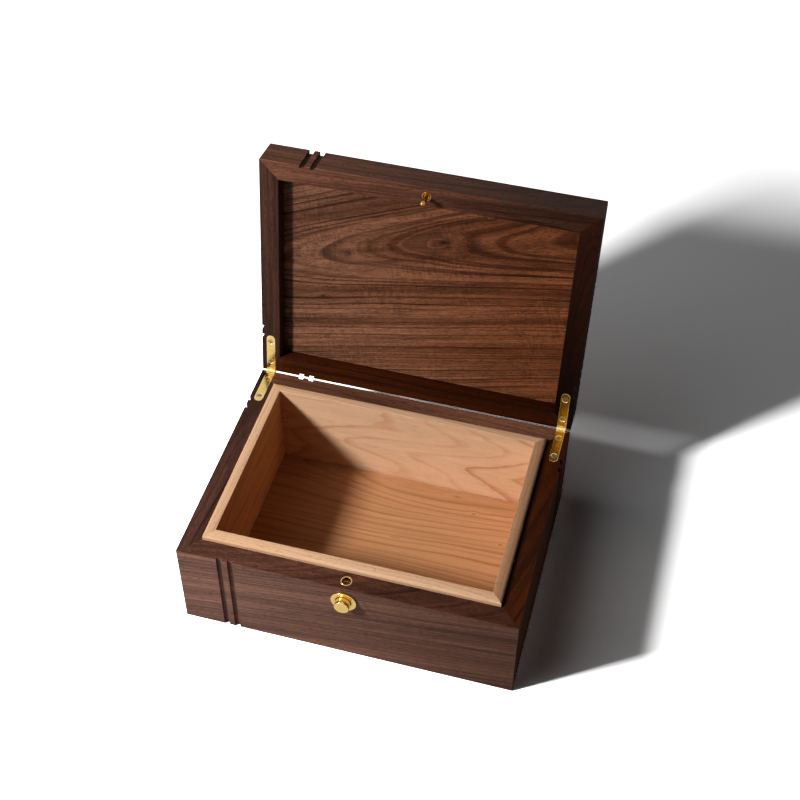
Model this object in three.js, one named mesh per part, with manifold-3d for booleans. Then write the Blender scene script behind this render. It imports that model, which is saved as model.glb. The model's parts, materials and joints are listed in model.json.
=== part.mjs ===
// Keepsake box: a mitred walnut case with a maple liner, and a mitred walnut lid on two rail hinges
// that a push-button latch holds shut. Millimetres, +Z up. The origin is under the middle of the
// case. -Y is the front. Every piece is drawn with the lid shut, and the lid's group then opens it.
import * as THREE from "three";
import { mergeVertices } from "three/addons/utils/BufferGeometryUtils.js";
import Module from "manifold-3d";

const wasm = await Module();
wasm.setup();

// Box, outside
const BOX_WIDTH = 305;
const BOX_DEPTH = 230.4;
const CASE_HEIGHT = 95.4;
const LID_HEIGHT = 30.5;
const WALL = 17.8;
const EDGE_ROUND = 0.6;
const CORNER_ROUND = 0.3;
const LID_OPEN_DEG = 98.5;

// Clearances between neighbouring pieces
const MITRE_GAP = 0.1;
const SEAT_GAP = 0.2;
const SIDE_GAP = 0.3;
const LID_GAP = 0.3;
const RUNNING_GAP = 0.05;

// Decorative grooves, a pair counted from the left end and a pair counted from the back
const GROOVE_START = 37.2;
const GROOVE_WIDTH = 5;
const GROOVE_RIDGE = 5;
const GROOVE_DEPTH = 2.5;

// Case bottom
const BOTTOM_THICKNESS = 6;
const BOTTOM_LAP = 6;

// Liner
const LINER_THICKNESS = 9.4;
const LINER_FLOOR_THICKNESS = 3.8;
const LINER_LIP = 5;
const LIP_BEVEL_IN = 2.6;
const LIP_BEVEL_DOWN = 2;
const LINER_PLAY_SIDE = 1.6;
const LINER_PLAY_ENDS = 0.5;

// Lid panel and its tongue
const LID_RECESS = 12;
const PANEL_GAP = 0.5;
const TONGUE_LENGTH = 5;
const TONGUE_THICKNESS = 6;

// Hinges
const HINGE_BEHIND_BACK = 0.4;
const LEAF_LENGTH = 41.6;
const LEAF_WIDTH = 8.4;
const LEAF_THICKNESS = 2.4;
const KNUCKLE_OVER_LEAF = 0.3;
const KNUCKLE_LENGTH_LID = 3.4;
const HINGE_PIN_RADIUS = 1.2;
const STOP_LUG_HEIGHT = 1.1;
const STOP_LUG_SWEEP_DEG = 30;

// Hinge screws, one counted from the hinge's axis and one from the leaf's tip
const SCREW_FROM_AXIS = 11.6;
const SCREW_FROM_TIP = 7.1;
const SCREW_HEAD_RADIUS = 2.6;
const SCREW_HEAD_HEIGHT = 1.5;
const SCREW_SHANK_RADIUS = 1.2;
const SCREW_LENGTH = 12;
const SCREW_SINK = 0.08;
const CROSS_WIDTH = 0.7;
const CROSS_LENGTH = 3;
const CROSS_DEPTH = 0.9;

// Push-button latch
const LATCH_BELOW_RIM = 16.6;
const BEZEL_LAP = 0.8;
const BEZEL_THICKNESS = 2;
const BEZEL_BEVEL = 0.4;
const BEZEL_BORE_GAP = 0.5;
const BUTTON_RADIUS = 6.7;
const BUTTON_PROUD = 8.5;
const BUTTON_ROUND = 0.5;
const BUTTON_STROKE = 2.5;
const PLUNGER_OVER_BUTTON = 2.5;
const PLUNGER_WALL = 1.1;
const SPIGOT_RADIUS = 2.5;
const SPIGOT_LENGTH = 4;
const BARREL_WALL = 1;
const BARREL_REAR_GAP = 0.4;
const BEZEL_SLEEVE = 1.6;

// Latch spring
const SPRING_RADIUS = 1.95;
const SPRING_WIRE_RADIUS = 0.35;
const SPRING_TURNS = 7;
const SPRING_SEAT_WALL = 3.2;
const SPRING_BELOW_POCKET = 3;

// Strike ferrule and catch pin
const FERRULE_RADIUS = 5.1;
const FERRULE_BORE_RADIUS = 4;
const FERRULE_BEVEL = 0.35;
const PIN_DISH_RADIUS = 4.3;
const PIN_DISH_DEPTH = 3.2;
const PIN_DISH_RIM = 0.8;
const PIN_DISH_HOLLOW = 1.4;
const PIN_ROOT_RADIUS = 2;
const PIN_ROOT_LENGTH = 9;
const PIN_SHAFT_RADIUS = 1.8;
const PIN_WAIST_RADIUS = 1.5;
const BALL_RADIUS = 2.7;
const CATCH_LIP = 1.5;

// How far a cutting tool runs past the face that it cuts
const PAST = 1;

// Places that follow from the sizes
const LEFT = -BOX_WIDTH / 2;
const RIGHT = BOX_WIDTH / 2;
const FRONT = -BOX_DEPTH / 2;
const BACK = BOX_DEPTH / 2;
const RIM = CASE_HEIGHT;
const LID_RIM = RIM + LID_GAP;
const LID_TOP = LID_RIM + LID_HEIGHT;
const HINGE_Y = BACK + HINGE_BEHIND_BACK;
const HINGE_Z = (RIM + LID_RIM) / 2;
const PIN_Y = FRONT + WALL / 2;
const GROOVE_OFFSETS = [GROOVE_START, GROOVE_START + GROOVE_WIDTH + GROOVE_RIDGE];
const SCREW_PLACES = [SCREW_FROM_AXIS, LEAF_LENGTH - SCREW_FROM_TIP];
const KNUCKLE_RADIUS = LEAF_THICKNESS + KNUCKLE_OVER_LEAF;
const TONGUE_MIDDLE = (LID_RIM + LID_RECESS + LID_TOP - GROOVE_DEPTH) / 2;
const LATCH_HEIGHT = RIM - LATCH_BELOW_RIM;
const PLUNGER_RADIUS = BUTTON_RADIUS + PLUNGER_OVER_BUTTON;
const LINER_SEAT = BOTTOM_THICKNESS + SEAT_GAP;
const BARREL_BORE = PLUNGER_RADIUS + SIDE_GAP;
const BARREL_RADIUS = BARREL_BORE + BARREL_WALL;
const BARREL_REAR = FRONT + WALL - BARREL_REAR_GAP;
const BEZEL_RADIUS = BARREL_RADIUS + SEAT_GAP + BEZEL_LAP;
const PLUNGER_FRONT = FRONT + BEZEL_SLEEVE + SIDE_GAP;
const PLUNGER_TOP = LATCH_HEIGHT + PLUNGER_RADIUS;
const CATCH_LIP_LOW = PLUNGER_TOP - CATCH_LIP;
const BALL_Z = CATCH_LIP_LOW - SIDE_GAP - BALL_RADIUS;
const POCKET_HALF = BALL_RADIUS + 2 * SIDE_GAP;
const PLUNGER_BACK = PIN_Y + POCKET_HALF + PLUNGER_WALL;
const SPRING_HOLE_RADIUS = SPRING_RADIUS + SPRING_WIRE_RADIUS + SIDE_GAP;
const SPRING_SEAT = PLUNGER_FRONT + SPRING_SEAT_WALL;
const SPRING_Z = BALL_Z - POCKET_HALF - SPRING_BELOW_POCKET - SPRING_HOLE_RADIUS;
const KNUCKLE_ROOM = KNUCKLE_RADIUS + SIDE_GAP;
const STOP_LUG_ROOM = KNUCKLE_ROOM + STOP_LUG_HEIGHT;
const STOP_CORNER = Math.asin((LEAF_THICKNESS + LID_GAP / 2) / KNUCKLE_ROOM);
const STOP_GAP = SIDE_GAP / KNUCKLE_ROOM;
const OUTSIDE = { left: LEFT, right: RIGHT, front: FRONT, back: BACK };
const OPENING = grown(OUTSIDE, -WALL);
const LINER = {
  left: OPENING.left + SIDE_GAP,
  right: OPENING.right - LINER_PLAY_SIDE,
  front: OPENING.front + LINER_PLAY_ENDS,
  back: OPENING.back - LINER_PLAY_ENDS,
};
const SIDES = ["front", "back", "left", "right"];
const FINE_ROUND_SIDES = 48;
const ROUND_SIDES = 32;
const SMALL_ROUND_SIDES = 20;
const WEDGE_STEPS = 6;
const BALL_STEPS = 10;
const SPRING_STEPS_PER_TURN = 8;
const SPRING_WIRE_SIDES = 5;

const WALNUT = { color: 0x5d3f30, roughness: 0.5, metalness: 0 };
const PANEL_WALNUT = { color: 0x70482f, roughness: 0.55, metalness: 0 };
const MAPLE = { color: 0xdcb389, roughness: 0.55, metalness: 0 };
const BRASS = { color: 0xd9b25a, roughness: 0.25, metalness: 1 };
const STEEL = { color: 0xb4b4b0, roughness: 0.35, metalness: 1 };

// A rectangle in plan, moved out by a distance on all four sides.
function grown(plan, distance) {
  return {
    left: plan.left - distance,
    right: plan.right + distance,
    front: plan.front - distance,
    back: plan.back + distance,
  };
}

// A closed geometry as a solid that can be cut and joined.
function solid(geometry) {
  const bare = geometry.index ? geometry.toNonIndexed() : geometry.clone();
  bare.deleteAttribute("normal");
  bare.deleteAttribute("uv");
  const merged = mergeVertices(bare, 1e-4);
  const mesh = new wasm.Mesh({
    numProp: 3,
    vertProperties: new Float32Array(merged.attributes.position.array),
    triVerts: new Uint32Array(merged.index.array),
  });
  return new wasm.Manifold(mesh);
}

// The solid's surface as a geometry.
function surface(body) {
  const mesh = body.getMesh();
  const places = new Float32Array(mesh.numVert * 3);
  for (let i = 0; i < mesh.numVert; i++) {
    places.set(mesh.vertProperties.subarray(i * mesh.numProp, i * mesh.numProp + 3), i * 3);
  }
  const geometry = new THREE.BufferGeometry();
  geometry.setAttribute("position", new THREE.BufferAttribute(places, 3));
  geometry.setIndex(new THREE.BufferAttribute(new Uint32Array(mesh.triVerts), 1));
  geometry.computeVertexNormals();
  return geometry;
}

function cut(body, tools) {
  return tools.reduce((rest, tool) => rest.subtract(tool), body);
}

function joined(bodies) {
  return bodies.reduce((all, body) => all.add(body));
}

// A block over a plan rectangle.
function block(plan, low, high) {
  const geometry = new THREE.BoxGeometry(plan.right - plan.left, plan.back - plan.front, high - low);
  geometry.translate((plan.left + plan.right) / 2, (plan.front + plan.back) / 2, (low + high) / 2);
  return solid(geometry);
}

// An upright prism over an outline of [x, y] points.
function prism(points, low, high) {
  const shape = new THREE.Shape(points.map(([x, y]) => new THREE.Vector2(x, y)));
  const geometry = new THREE.ExtrudeGeometry(shape, { depth: high - low, bevelEnabled: false });
  geometry.translate(0, 0, low);
  return solid(geometry);
}

// A block whose edges are all rounded.
function roundedBlock(plan, low, high, round) {
  const core = grown(plan, -round);
  const turn = CORNER_ROUND;
  const shape = new THREE.Shape();
  shape.absarc(core.right - turn, core.back - turn, turn, 0, Math.PI / 2);
  shape.absarc(core.left + turn, core.back - turn, turn, Math.PI / 2, Math.PI);
  shape.absarc(core.left + turn, core.front + turn, turn, Math.PI, Math.PI * 1.5);
  shape.absarc(core.right - turn, core.front + turn, turn, Math.PI * 1.5, Math.PI * 2);
  const geometry = new THREE.ExtrudeGeometry(shape, {
    depth: high - low - 2 * round,
    bevelThickness: round,
    bevelSize: round,
    bevelSegments: 2,
    curveSegments: 2,
  });
  geometry.translate(0, 0, low + round);
  return solid(geometry);
}

// A block with one straight bevel round its top edge.
function bevelledBlock(plan, low, high, inward, down) {
  const core = grown(plan, -inward);
  const shape = new THREE.Shape([
    new THREE.Vector2(core.left, core.front),
    new THREE.Vector2(core.right, core.front),
    new THREE.Vector2(core.right, core.back),
    new THREE.Vector2(core.left, core.back),
  ]);
  const geometry = new THREE.ExtrudeGeometry(shape, {
    depth: high - low - down,
    bevelThickness: down,
    bevelSize: inward,
    bevelSegments: 1,
  });
  geometry.translate(0, 0, low);
  return solid(geometry);
}

// One side of a mitred frame: the part of a body that lies over that side's trapezium. The ends are
// drawn in along the side, so that the two faces of each mitre stand a hair apart.
function mitredSide(body, plan, thickness, side, low, high) {
  const ease = MITRE_GAP * Math.SQRT1_2;
  const { left, right, front, back } = plan;
  const outlines = {
    front: [
      [left + ease, front],
      [right - ease, front],
      [right - thickness - ease, front + thickness],
      [left + thickness + ease, front + thickness],
    ],
    back: [
      [left + thickness + ease, back - thickness],
      [right - thickness - ease, back - thickness],
      [right - ease, back],
      [left + ease, back],
    ],
    left: [
      [left, front + ease],
      [left + thickness, front + thickness + ease],
      [left + thickness, back - thickness - ease],
      [left, back - ease],
    ],
    right: [
      [right - thickness, front + thickness + ease],
      [right, front + ease],
      [right, back - ease],
      [right - thickness, back - thickness - ease],
    ],
  };
  return body.intersect(prism(outlines[side], low, high));
}

// A turned body about the line along +Y at a height over the box's middle, from [radius, y] points.
function turnedAlongY(points, z, sides = ROUND_SIDES) {
  const geometry = new THREE.LatheGeometry(points.map(([r, y]) => new THREE.Vector2(r, y)), sides);
  geometry.translate(0, 0, z);
  return solid(geometry);
}

// A turned body about an upright line through (x, y), from [radius, z] points.
function turnedUpright(points, x, y, sides = ROUND_SIDES) {
  const geometry = new THREE.LatheGeometry(points.map(([r, z]) => new THREE.Vector2(r, z)), sides);
  geometry.rotateX(Math.PI / 2);
  geometry.translate(x, y, 0);
  return solid(geometry);
}

function uprightRod(radius, x, y, low, high, sides = ROUND_SIDES) {
  return turnedUpright([[0, low], [radius, low], [radius, high], [0, high]], x, y, sides);
}

// A rod along X about the hinges' axis.
function hingeRod(radius, from, to, sides = ROUND_SIDES) {
  const geometry = new THREE.CylinderGeometry(radius, radius, to - from, sides);
  geometry.rotateZ(Math.PI / 2);
  geometry.translate((from + to) / 2, HINGE_Y, HINGE_Z);
  return solid(geometry);
}

// The grooves across the long faces and across the short ones, as cutting blocks round a body that
// stands between two heights. A body with a grooved top gets them there too.
function grooveTools(low, high, topGrooved) {
  const tools = [];
  for (const offset of GROOVE_OFFSETS) {
    const start = LEFT + offset;
    const end = BACK - offset;
    const across = { left: start, right: start + GROOVE_WIDTH };
    const along = { front: end - GROOVE_WIDTH, back: end };
    tools.push(
      block({ ...across, front: FRONT - PAST, back: FRONT + GROOVE_DEPTH }, low - PAST, high + PAST),
      block({ ...across, front: BACK - GROOVE_DEPTH, back: BACK + PAST }, low - PAST, high + PAST),
      block({ ...along, left: LEFT - PAST, right: LEFT + GROOVE_DEPTH }, low - PAST, high + PAST),
      block({ ...along, left: RIGHT - GROOVE_DEPTH, right: RIGHT + PAST }, low - PAST, high + PAST),
    );
    if (topGrooved) {
      tools.push(
        block({ ...across, front: FRONT - PAST, back: BACK + PAST }, high - GROOVE_DEPTH, high + PAST),
        block({ ...along, left: LEFT - PAST, right: RIGHT + PAST }, high - GROOVE_DEPTH, high + PAST),
      );
    }
  }
  return tools;
}

// Where the two hinges lie, as the middles of the side walls.
const HINGE_PLACES = { left: LEFT + WALL / 2, right: RIGHT - WALL / 2 };

// A leaf's outline in plan, from the hinge's axis to its round tip, moved out by a distance.
function leafPlate(x, distance, low, high) {
  const half = LEAF_WIDTH / 2;
  const tip = HINGE_Y - LEAF_LENGTH + half;
  const shape = new THREE.Shape();
  shape.absarc(x, tip, half + distance, Math.PI, Math.PI * 2);
  shape.lineTo(x + half + distance, HINGE_Y);
  shape.lineTo(x - half - distance, HINGE_Y);
  const geometry = new THREE.ExtrudeGeometry(shape, {
    depth: high - low,
    bevelEnabled: false,
    curveSegments: SMALL_ROUND_SIDES / 2,
  });
  geometry.translate(0, 0, low);
  return solid(geometry);
}

// What the wood gives up to one hinge: the two leaves' mortises, room for the knuckles and the stop
// lug, and the screws' pilot holes.
function hingeMortise(x) {
  const half = LEAF_WIDTH / 2 + SIDE_GAP;
  const deep = LEAF_THICKNESS + SEAT_GAP;
  const knuckles = {
    left: x - half,
    right: x + half,
    front: HINGE_Y - KNUCKLE_ROOM,
    back: HINGE_Y + KNUCKLE_ROOM,
  };
  const pilots = SCREW_PLACES.map((place) =>
    uprightRod(
      SCREW_SHANK_RADIUS + SEAT_GAP,
      x,
      HINGE_Y - place,
      RIM - SCREW_LENGTH - SEAT_GAP,
      LID_RIM + SCREW_LENGTH + SEAT_GAP,
      SMALL_ROUND_SIDES,
    ),
  );
  return [
    leafPlate(x, SIDE_GAP, RIM - deep, LID_RIM + deep),
    block(knuckles, HINGE_Z - STOP_LUG_ROOM, HINGE_Z + KNUCKLE_ROOM),
    ...pilots,
  ];
}

// The case's front board takes the latch's barrel and, from the rim, the strike ferrule.
function latchHoles() {
  const barrel = BARREL_RADIUS + SEAT_GAP;
  return [
    turnedAlongY(
      [[0, FRONT - PAST], [barrel, FRONT - PAST], [barrel, FRONT + WALL + PAST], [0, FRONT + WALL + PAST]],
      LATCH_HEIGHT,
    ),
    uprightRod(FERRULE_RADIUS + SEAT_GAP, 0, PIN_Y, LATCH_HEIGHT, RIM + PAST),
  ];
}

// The lid's front rail takes the catch pin's dish and root.
function catchPinHoles() {
  const dish = LID_RIM + PIN_DISH_DEPTH + SEAT_GAP;
  const root = dish + PIN_ROOT_LENGTH;
  return [
    uprightRod(PIN_DISH_RADIUS + SEAT_GAP, 0, PIN_Y, LID_RIM - PAST, dish),
    uprightRod(PIN_ROOT_RADIUS + SEAT_GAP, 0, PIN_Y, LID_RIM - PAST, root),
  ];
}

// The four walnut boards of the case, with a rabbet for the bottom.
function caseBoards() {
  const envelope = roundedBlock(OUTSIDE, 0, RIM, EDGE_ROUND);
  const rabbet = block(grown(OPENING, BOTTOM_LAP), -PAST, BOTTOM_THICKNESS + SEAT_GAP);
  const shell = cut(envelope, [
    ...grooveTools(0, RIM, false),
    rabbet,
    ...hingeMortise(HINGE_PLACES.left),
    ...hingeMortise(HINGE_PLACES.right),
    ...latchHoles(),
  ]);
  return SIDES.map((side) => [
    `case_${side}`,
    mitredSide(shell, OUTSIDE, WALL, side, -PAST, RIM + PAST),
    WALNUT,
  ]);
}

function caseBottom() {
  return block(grown(OPENING, BOTTOM_LAP - SIDE_GAP), 0, BOTTOM_THICKNESS);
}

// The maple liner's four boards, whose lip stands out of the rim with a bevel round the outside.
function linerBoards() {
  const top = RIM + LINER_LIP;
  const outer = bevelledBlock(LINER, LINER_SEAT, top, LIP_BEVEL_IN, LIP_BEVEL_DOWN);
  return SIDES.map((side) => [
    `liner_${side}`,
    mitredSide(outer, LINER, LINER_THICKNESS, side, LINER_SEAT, top + PAST),
    MAPLE,
  ]);
}

function linerFloor() {
  const plan = grown(LINER, -LINER_THICKNESS - SEAT_GAP);
  return block(plan, LINER_SEAT, LINER_SEAT + LINER_FLOOR_THICKNESS);
}

// The lid's four rails, grooved inside for the panel's tongue.
function lidRails() {
  const envelope = roundedBlock(OUTSIDE, LID_RIM, LID_TOP, EDGE_ROUND);
  const slotHalf = TONGUE_THICKNESS / 2 + SEAT_GAP;
  const slot = block(
    grown(OPENING, TONGUE_LENGTH + SIDE_GAP),
    TONGUE_MIDDLE - slotHalf,
    TONGUE_MIDDLE + slotHalf,
  );
  const shell = cut(envelope, [
    ...grooveTools(LID_RIM, LID_TOP, true),
    slot,
    ...hingeMortise(HINGE_PLACES.left),
    ...hingeMortise(HINGE_PLACES.right),
    ...catchPinHoles(),
  ]);
  return SIDES.map((side) => [
    `lid_${side}`,
    mitredSide(shell, OUTSIDE, WALL, side, LID_RIM - PAST, LID_TOP + PAST),
    WALNUT,
  ]);
}

// The lid's panel: flush with the rails on top, LID_RECESS above the rim below.
function lidPanel() {
  const half = TONGUE_THICKNESS / 2;
  const board = block(grown(OPENING, -PANEL_GAP), LID_RIM + LID_RECESS, LID_TOP);
  const tongue = block(grown(OPENING, TONGUE_LENGTH), TONGUE_MIDDLE - half, TONGUE_MIDDLE + half);
  return cut(joined([board, tongue]), grooveTools(LID_RIM, LID_TOP, true));
}

// A countersunk screw hole through a leaf whose outer face is at a height. Down is -1 or 1.
function screwHole(x, y, face, down) {
  const wide = SCREW_HEAD_RADIUS + SEAT_GAP / 2;
  const narrow = SCREW_SHANK_RADIUS + SEAT_GAP / 2;
  const far = LEAF_THICKNESS + PAST;
  const points = [
    [0, face + down * far],
    [narrow, face + down * far],
    [narrow, face + down * (SCREW_HEAD_HEIGHT + SEAT_GAP / 2)],
    [wide, face],
    [wide, face - down * PAST],
    [0, face - down * PAST],
  ];
  return turnedUpright(down < 0 ? points : points.reverse(), x, y, SMALL_ROUND_SIDES);
}

// A countersunk screw with a cross recess, its head just under a face, its tip on the far side.
function screw(x, y, face, down) {
  const top = face + down * SCREW_SINK;
  const points = [
    [0, top + down * SCREW_LENGTH],
    [SCREW_SHANK_RADIUS, top + down * (SCREW_LENGTH - SCREW_SHANK_RADIUS)],
    [SCREW_SHANK_RADIUS, top + down * SCREW_HEAD_HEIGHT],
    [SCREW_HEAD_RADIUS, top],
    [0, top],
  ];
  const body = turnedUpright(down < 0 ? points : points.reverse(), x, y, SMALL_ROUND_SIDES);
  const heights = [top - down * PAST, top + down * CROSS_DEPTH].sort((a, b) => a - b);
  const bar = (alongX, alongY) =>
    block(
      { left: x - alongX / 2, right: x + alongX / 2, front: y - alongY / 2, back: y + alongY / 2 },
      ...heights,
    );
  return cut(body, [bar(CROSS_LENGTH, CROSS_WIDTH), bar(CROSS_WIDTH, CROSS_LENGTH)]);
}

// A wedge about the hinges' axis, between two angles counted from -Y towards -Z.
function hingeWedge(from, to, start, sweep, radius) {
  const shape = new THREE.Shape();
  shape.moveTo(0, 0);
  for (let i = 0; i <= WEDGE_STEPS; i++) {
    const angle = THREE.MathUtils.degToRad(start + (sweep * i) / WEDGE_STEPS);
    shape.lineTo(-radius * Math.cos(angle), -radius * Math.sin(angle));
  }
  const geometry = new THREE.ExtrudeGeometry(shape, { depth: to - from, bevelEnabled: false });
  // The outline is drawn as y, z, so that its depth runs along +X.
  const placed = new THREE.Matrix4().makeBasis(
    new THREE.Vector3(0, 1, 0),
    new THREE.Vector3(0, 0, 1),
    new THREE.Vector3(1, 0, 0),
  );
  placed.setPosition(from, HINGE_Y, HINGE_Z);
  geometry.applyMatrix4(placed);
  return solid(geometry);
}

// The case's leaf carries the two outer knuckles.
function caseLeaf(x) {
  const half = LEAF_WIDTH / 2;
  const middle = KNUCKLE_LENGTH_LID / 2 + SIDE_GAP / 2;
  const plate = leafPlate(x, 0, RIM - LEAF_THICKNESS, RIM);
  const knuckles = joined([
    hingeRod(KNUCKLE_RADIUS, x - half, x - middle),
    hingeRod(KNUCKLE_RADIUS, x + middle, x + half),
  ]);
  const bore = hingeRod(HINGE_PIN_RADIUS + RUNNING_GAP, x - half - PAST, x + half + PAST);
  const holes = SCREW_PLACES.map((place) => screwHole(x, HINGE_Y - place, RIM, -1));
  return cut(joined([plate, knuckles]), [hingeRod(KNUCKLE_ROOM, x - middle, x + middle), bore, ...holes]);
}

// The lid's leaf carries the middle knuckle, whose lug meets the case's leaf at the open stop.
function lidLeaf(x) {
  const half = LEAF_WIDTH / 2;
  const middle = KNUCKLE_LENGTH_LID / 2;
  const plate = leafPlate(x, 0, LID_RIM, LID_RIM + LEAF_THICKNESS);
  const knuckle = hingeRod(KNUCKLE_RADIUS, x - middle, x + middle);
  const start = THREE.MathUtils.radToDeg(STOP_CORNER + STOP_GAP) + LID_OPEN_DEG;
  const reach = KNUCKLE_RADIUS + STOP_LUG_HEIGHT;
  const lug = hingeWedge(x - middle, x + middle, start, STOP_LUG_SWEEP_DEG, reach);
  const bore = hingeRod(HINGE_PIN_RADIUS + RUNNING_GAP, x - half - PAST, x + half + PAST);
  const holes = SCREW_PLACES.map((place) => screwHole(x, HINGE_Y - place, LID_RIM, 1));
  const shoulders = [
    hingeRod(KNUCKLE_ROOM, x - half - PAST, x - middle),
    hingeRod(KNUCKLE_ROOM, x + middle, x + half + PAST),
  ];
  return cut(joined([cut(plate, shoulders), knuckle, lug]), [bore, ...holes]);
}

function hingePin(x) {
  const half = LEAF_WIDTH / 2;
  return hingeRod(HINGE_PIN_RADIUS, x - half, x + half);
}

// The latch's barrel, a cup that opens to the front, with a hole above for the catch pin.
function latchBarrel() {
  const mouth = FRONT + SEAT_GAP;
  const floor = BARREL_REAR - BARREL_WALL;
  const cup = turnedAlongY(
    [
      [0, floor],
      [BARREL_BORE, floor],
      [BARREL_BORE, mouth],
      [BARREL_RADIUS, mouth],
      [BARREL_RADIUS, BARREL_REAR],
      [0, BARREL_REAR],
    ],
    LATCH_HEIGHT,
  );
  return cut(cup, [uprightRod(FERRULE_BORE_RADIUS, 0, PIN_Y, BALL_Z, RIM)]);
}

// The bezel's flange lies on the front board, and its sleeve keeps the plunger in the barrel.
function latchBezel() {
  const bore = BUTTON_RADIUS + BEZEL_BORE_GAP;
  const sleeve = BARREL_BORE - SEAT_GAP;
  const face = FRONT - BEZEL_THICKNESS;
  const seat = FRONT - SEAT_GAP;
  const end = FRONT + BEZEL_SLEEVE;
  return turnedAlongY(
    [
      [bore, end],
      [bore, face + BEZEL_BEVEL],
      [bore + BEZEL_BEVEL, face],
      [BEZEL_RADIUS - BEZEL_BEVEL, face],
      [BEZEL_RADIUS, face + BEZEL_BEVEL],
      [BEZEL_RADIUS, seat],
      [sleeve, seat],
      [sleeve, end],
      [bore, end],
    ],
    LATCH_HEIGHT,
    FINE_ROUND_SIDES,
  );
}

// The button, a round cap with a blind hole in its rear for the plunger's spigot.
function latchButton() {
  const face = FRONT - BUTTON_PROUD;
  const rear = PLUNGER_FRONT - SEAT_GAP;
  const socket = SPIGOT_RADIUS + SEAT_GAP;
  const socketEnd = PLUNGER_FRONT - SPIGOT_LENGTH - SEAT_GAP;
  return turnedAlongY(
    [
      [0, face],
      [BUTTON_RADIUS - BUTTON_ROUND, face],
      [BUTTON_RADIUS - BUTTON_ROUND * 0.3, face + BUTTON_ROUND * 0.3],
      [BUTTON_RADIUS, face + BUTTON_ROUND],
      [BUTTON_RADIUS, rear],
      [socket, rear],
      [socket, socketEnd],
      [0, socketEnd],
    ],
    LATCH_HEIGHT,
    FINE_ROUND_SIDES,
  );
}

// The plunger behind the button. A pocket with a keyhole above holds the catch pin's ball: the
// narrow end holds the waist while the button is out, and the wide end lets the ball through when
// the button is pressed.
function latchPlunger() {
  const body = turnedAlongY(
    [
      [0, PLUNGER_FRONT - SPIGOT_LENGTH],
      [SPIGOT_RADIUS, PLUNGER_FRONT - SPIGOT_LENGTH],
      [SPIGOT_RADIUS, PLUNGER_FRONT],
      [PLUNGER_RADIUS, PLUNGER_FRONT],
      [PLUNGER_RADIUS, PLUNGER_BACK],
      [0, PLUNGER_BACK],
    ],
    LATCH_HEIGHT,
  );
  const pressed = PIN_Y - BUTTON_STROKE;
  const above = PLUNGER_TOP + PAST;
  const slotHalf = PIN_WAIST_RADIUS + SIDE_GAP;
  const pocket = block(
    { left: -POCKET_HALF, right: POCKET_HALF, front: pressed - POCKET_HALF, back: PIN_Y + POCKET_HALF },
    BALL_Z - POCKET_HALF,
    CATCH_LIP_LOW,
  );
  const wide = uprightRod(BALL_RADIUS + SIDE_GAP, 0, pressed, BALL_Z, above, SMALL_ROUND_SIDES);
  const narrow = block(
    { left: -slotHalf, right: slotHalf, front: pressed, back: PIN_Y + slotHalf },
    BALL_Z,
    above,
  );
  const springRoom = turnedAlongY(
    [
      [0, SPRING_SEAT],
      [SPRING_HOLE_RADIUS, SPRING_SEAT],
      [SPRING_HOLE_RADIUS, PLUNGER_BACK + PAST],
      [0, PLUNGER_BACK + PAST],
    ],
    SPRING_Z,
    SMALL_ROUND_SIDES,
  );
  return cut(body, [pocket, wide, narrow, springRoom]);
}

// The coil spring between the hole in the plunger and the barrel's rear wall.
function latchSpring() {
  const from = SPRING_SEAT + SEAT_GAP + SPRING_WIRE_RADIUS;
  const to = BARREL_REAR - BARREL_WALL - SEAT_GAP - SPRING_WIRE_RADIUS;
  class Helix extends THREE.Curve {
    getPoint(t, target = new THREE.Vector3()) {
      const angle = 2 * Math.PI * SPRING_TURNS * t;
      return target.set(
        SPRING_RADIUS * Math.cos(angle),
        from + (to - from) * t,
        SPRING_Z + SPRING_RADIUS * Math.sin(angle),
      );
    }
  }
  const section = new THREE.Shape();
  section.absarc(0, 0, SPRING_WIRE_RADIUS, 0, 2 * Math.PI);
  return solid(
    new THREE.ExtrudeGeometry(section, {
      extrudePath: new Helix(),
      steps: SPRING_TURNS * SPRING_STEPS_PER_TURN,
      curveSegments: SPRING_WIRE_SIDES,
      bevelEnabled: false,
    }),
  );
}

// The ferrule lines the hole that the catch pin enters.
function strikeFerrule() {
  const low = LATCH_HEIGHT + BARREL_RADIUS + SIDE_GAP;
  return turnedUpright(
    [
      [FERRULE_BORE_RADIUS, low],
      [FERRULE_RADIUS, low],
      [FERRULE_RADIUS, RIM - FERRULE_BEVEL],
      [FERRULE_RADIUS - FERRULE_BEVEL, RIM],
      [FERRULE_BORE_RADIUS + FERRULE_BEVEL, RIM],
      [FERRULE_BORE_RADIUS, RIM - FERRULE_BEVEL],
      [FERRULE_BORE_RADIUS, low],
    ],
    0,
    PIN_Y,
  );
}

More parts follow.
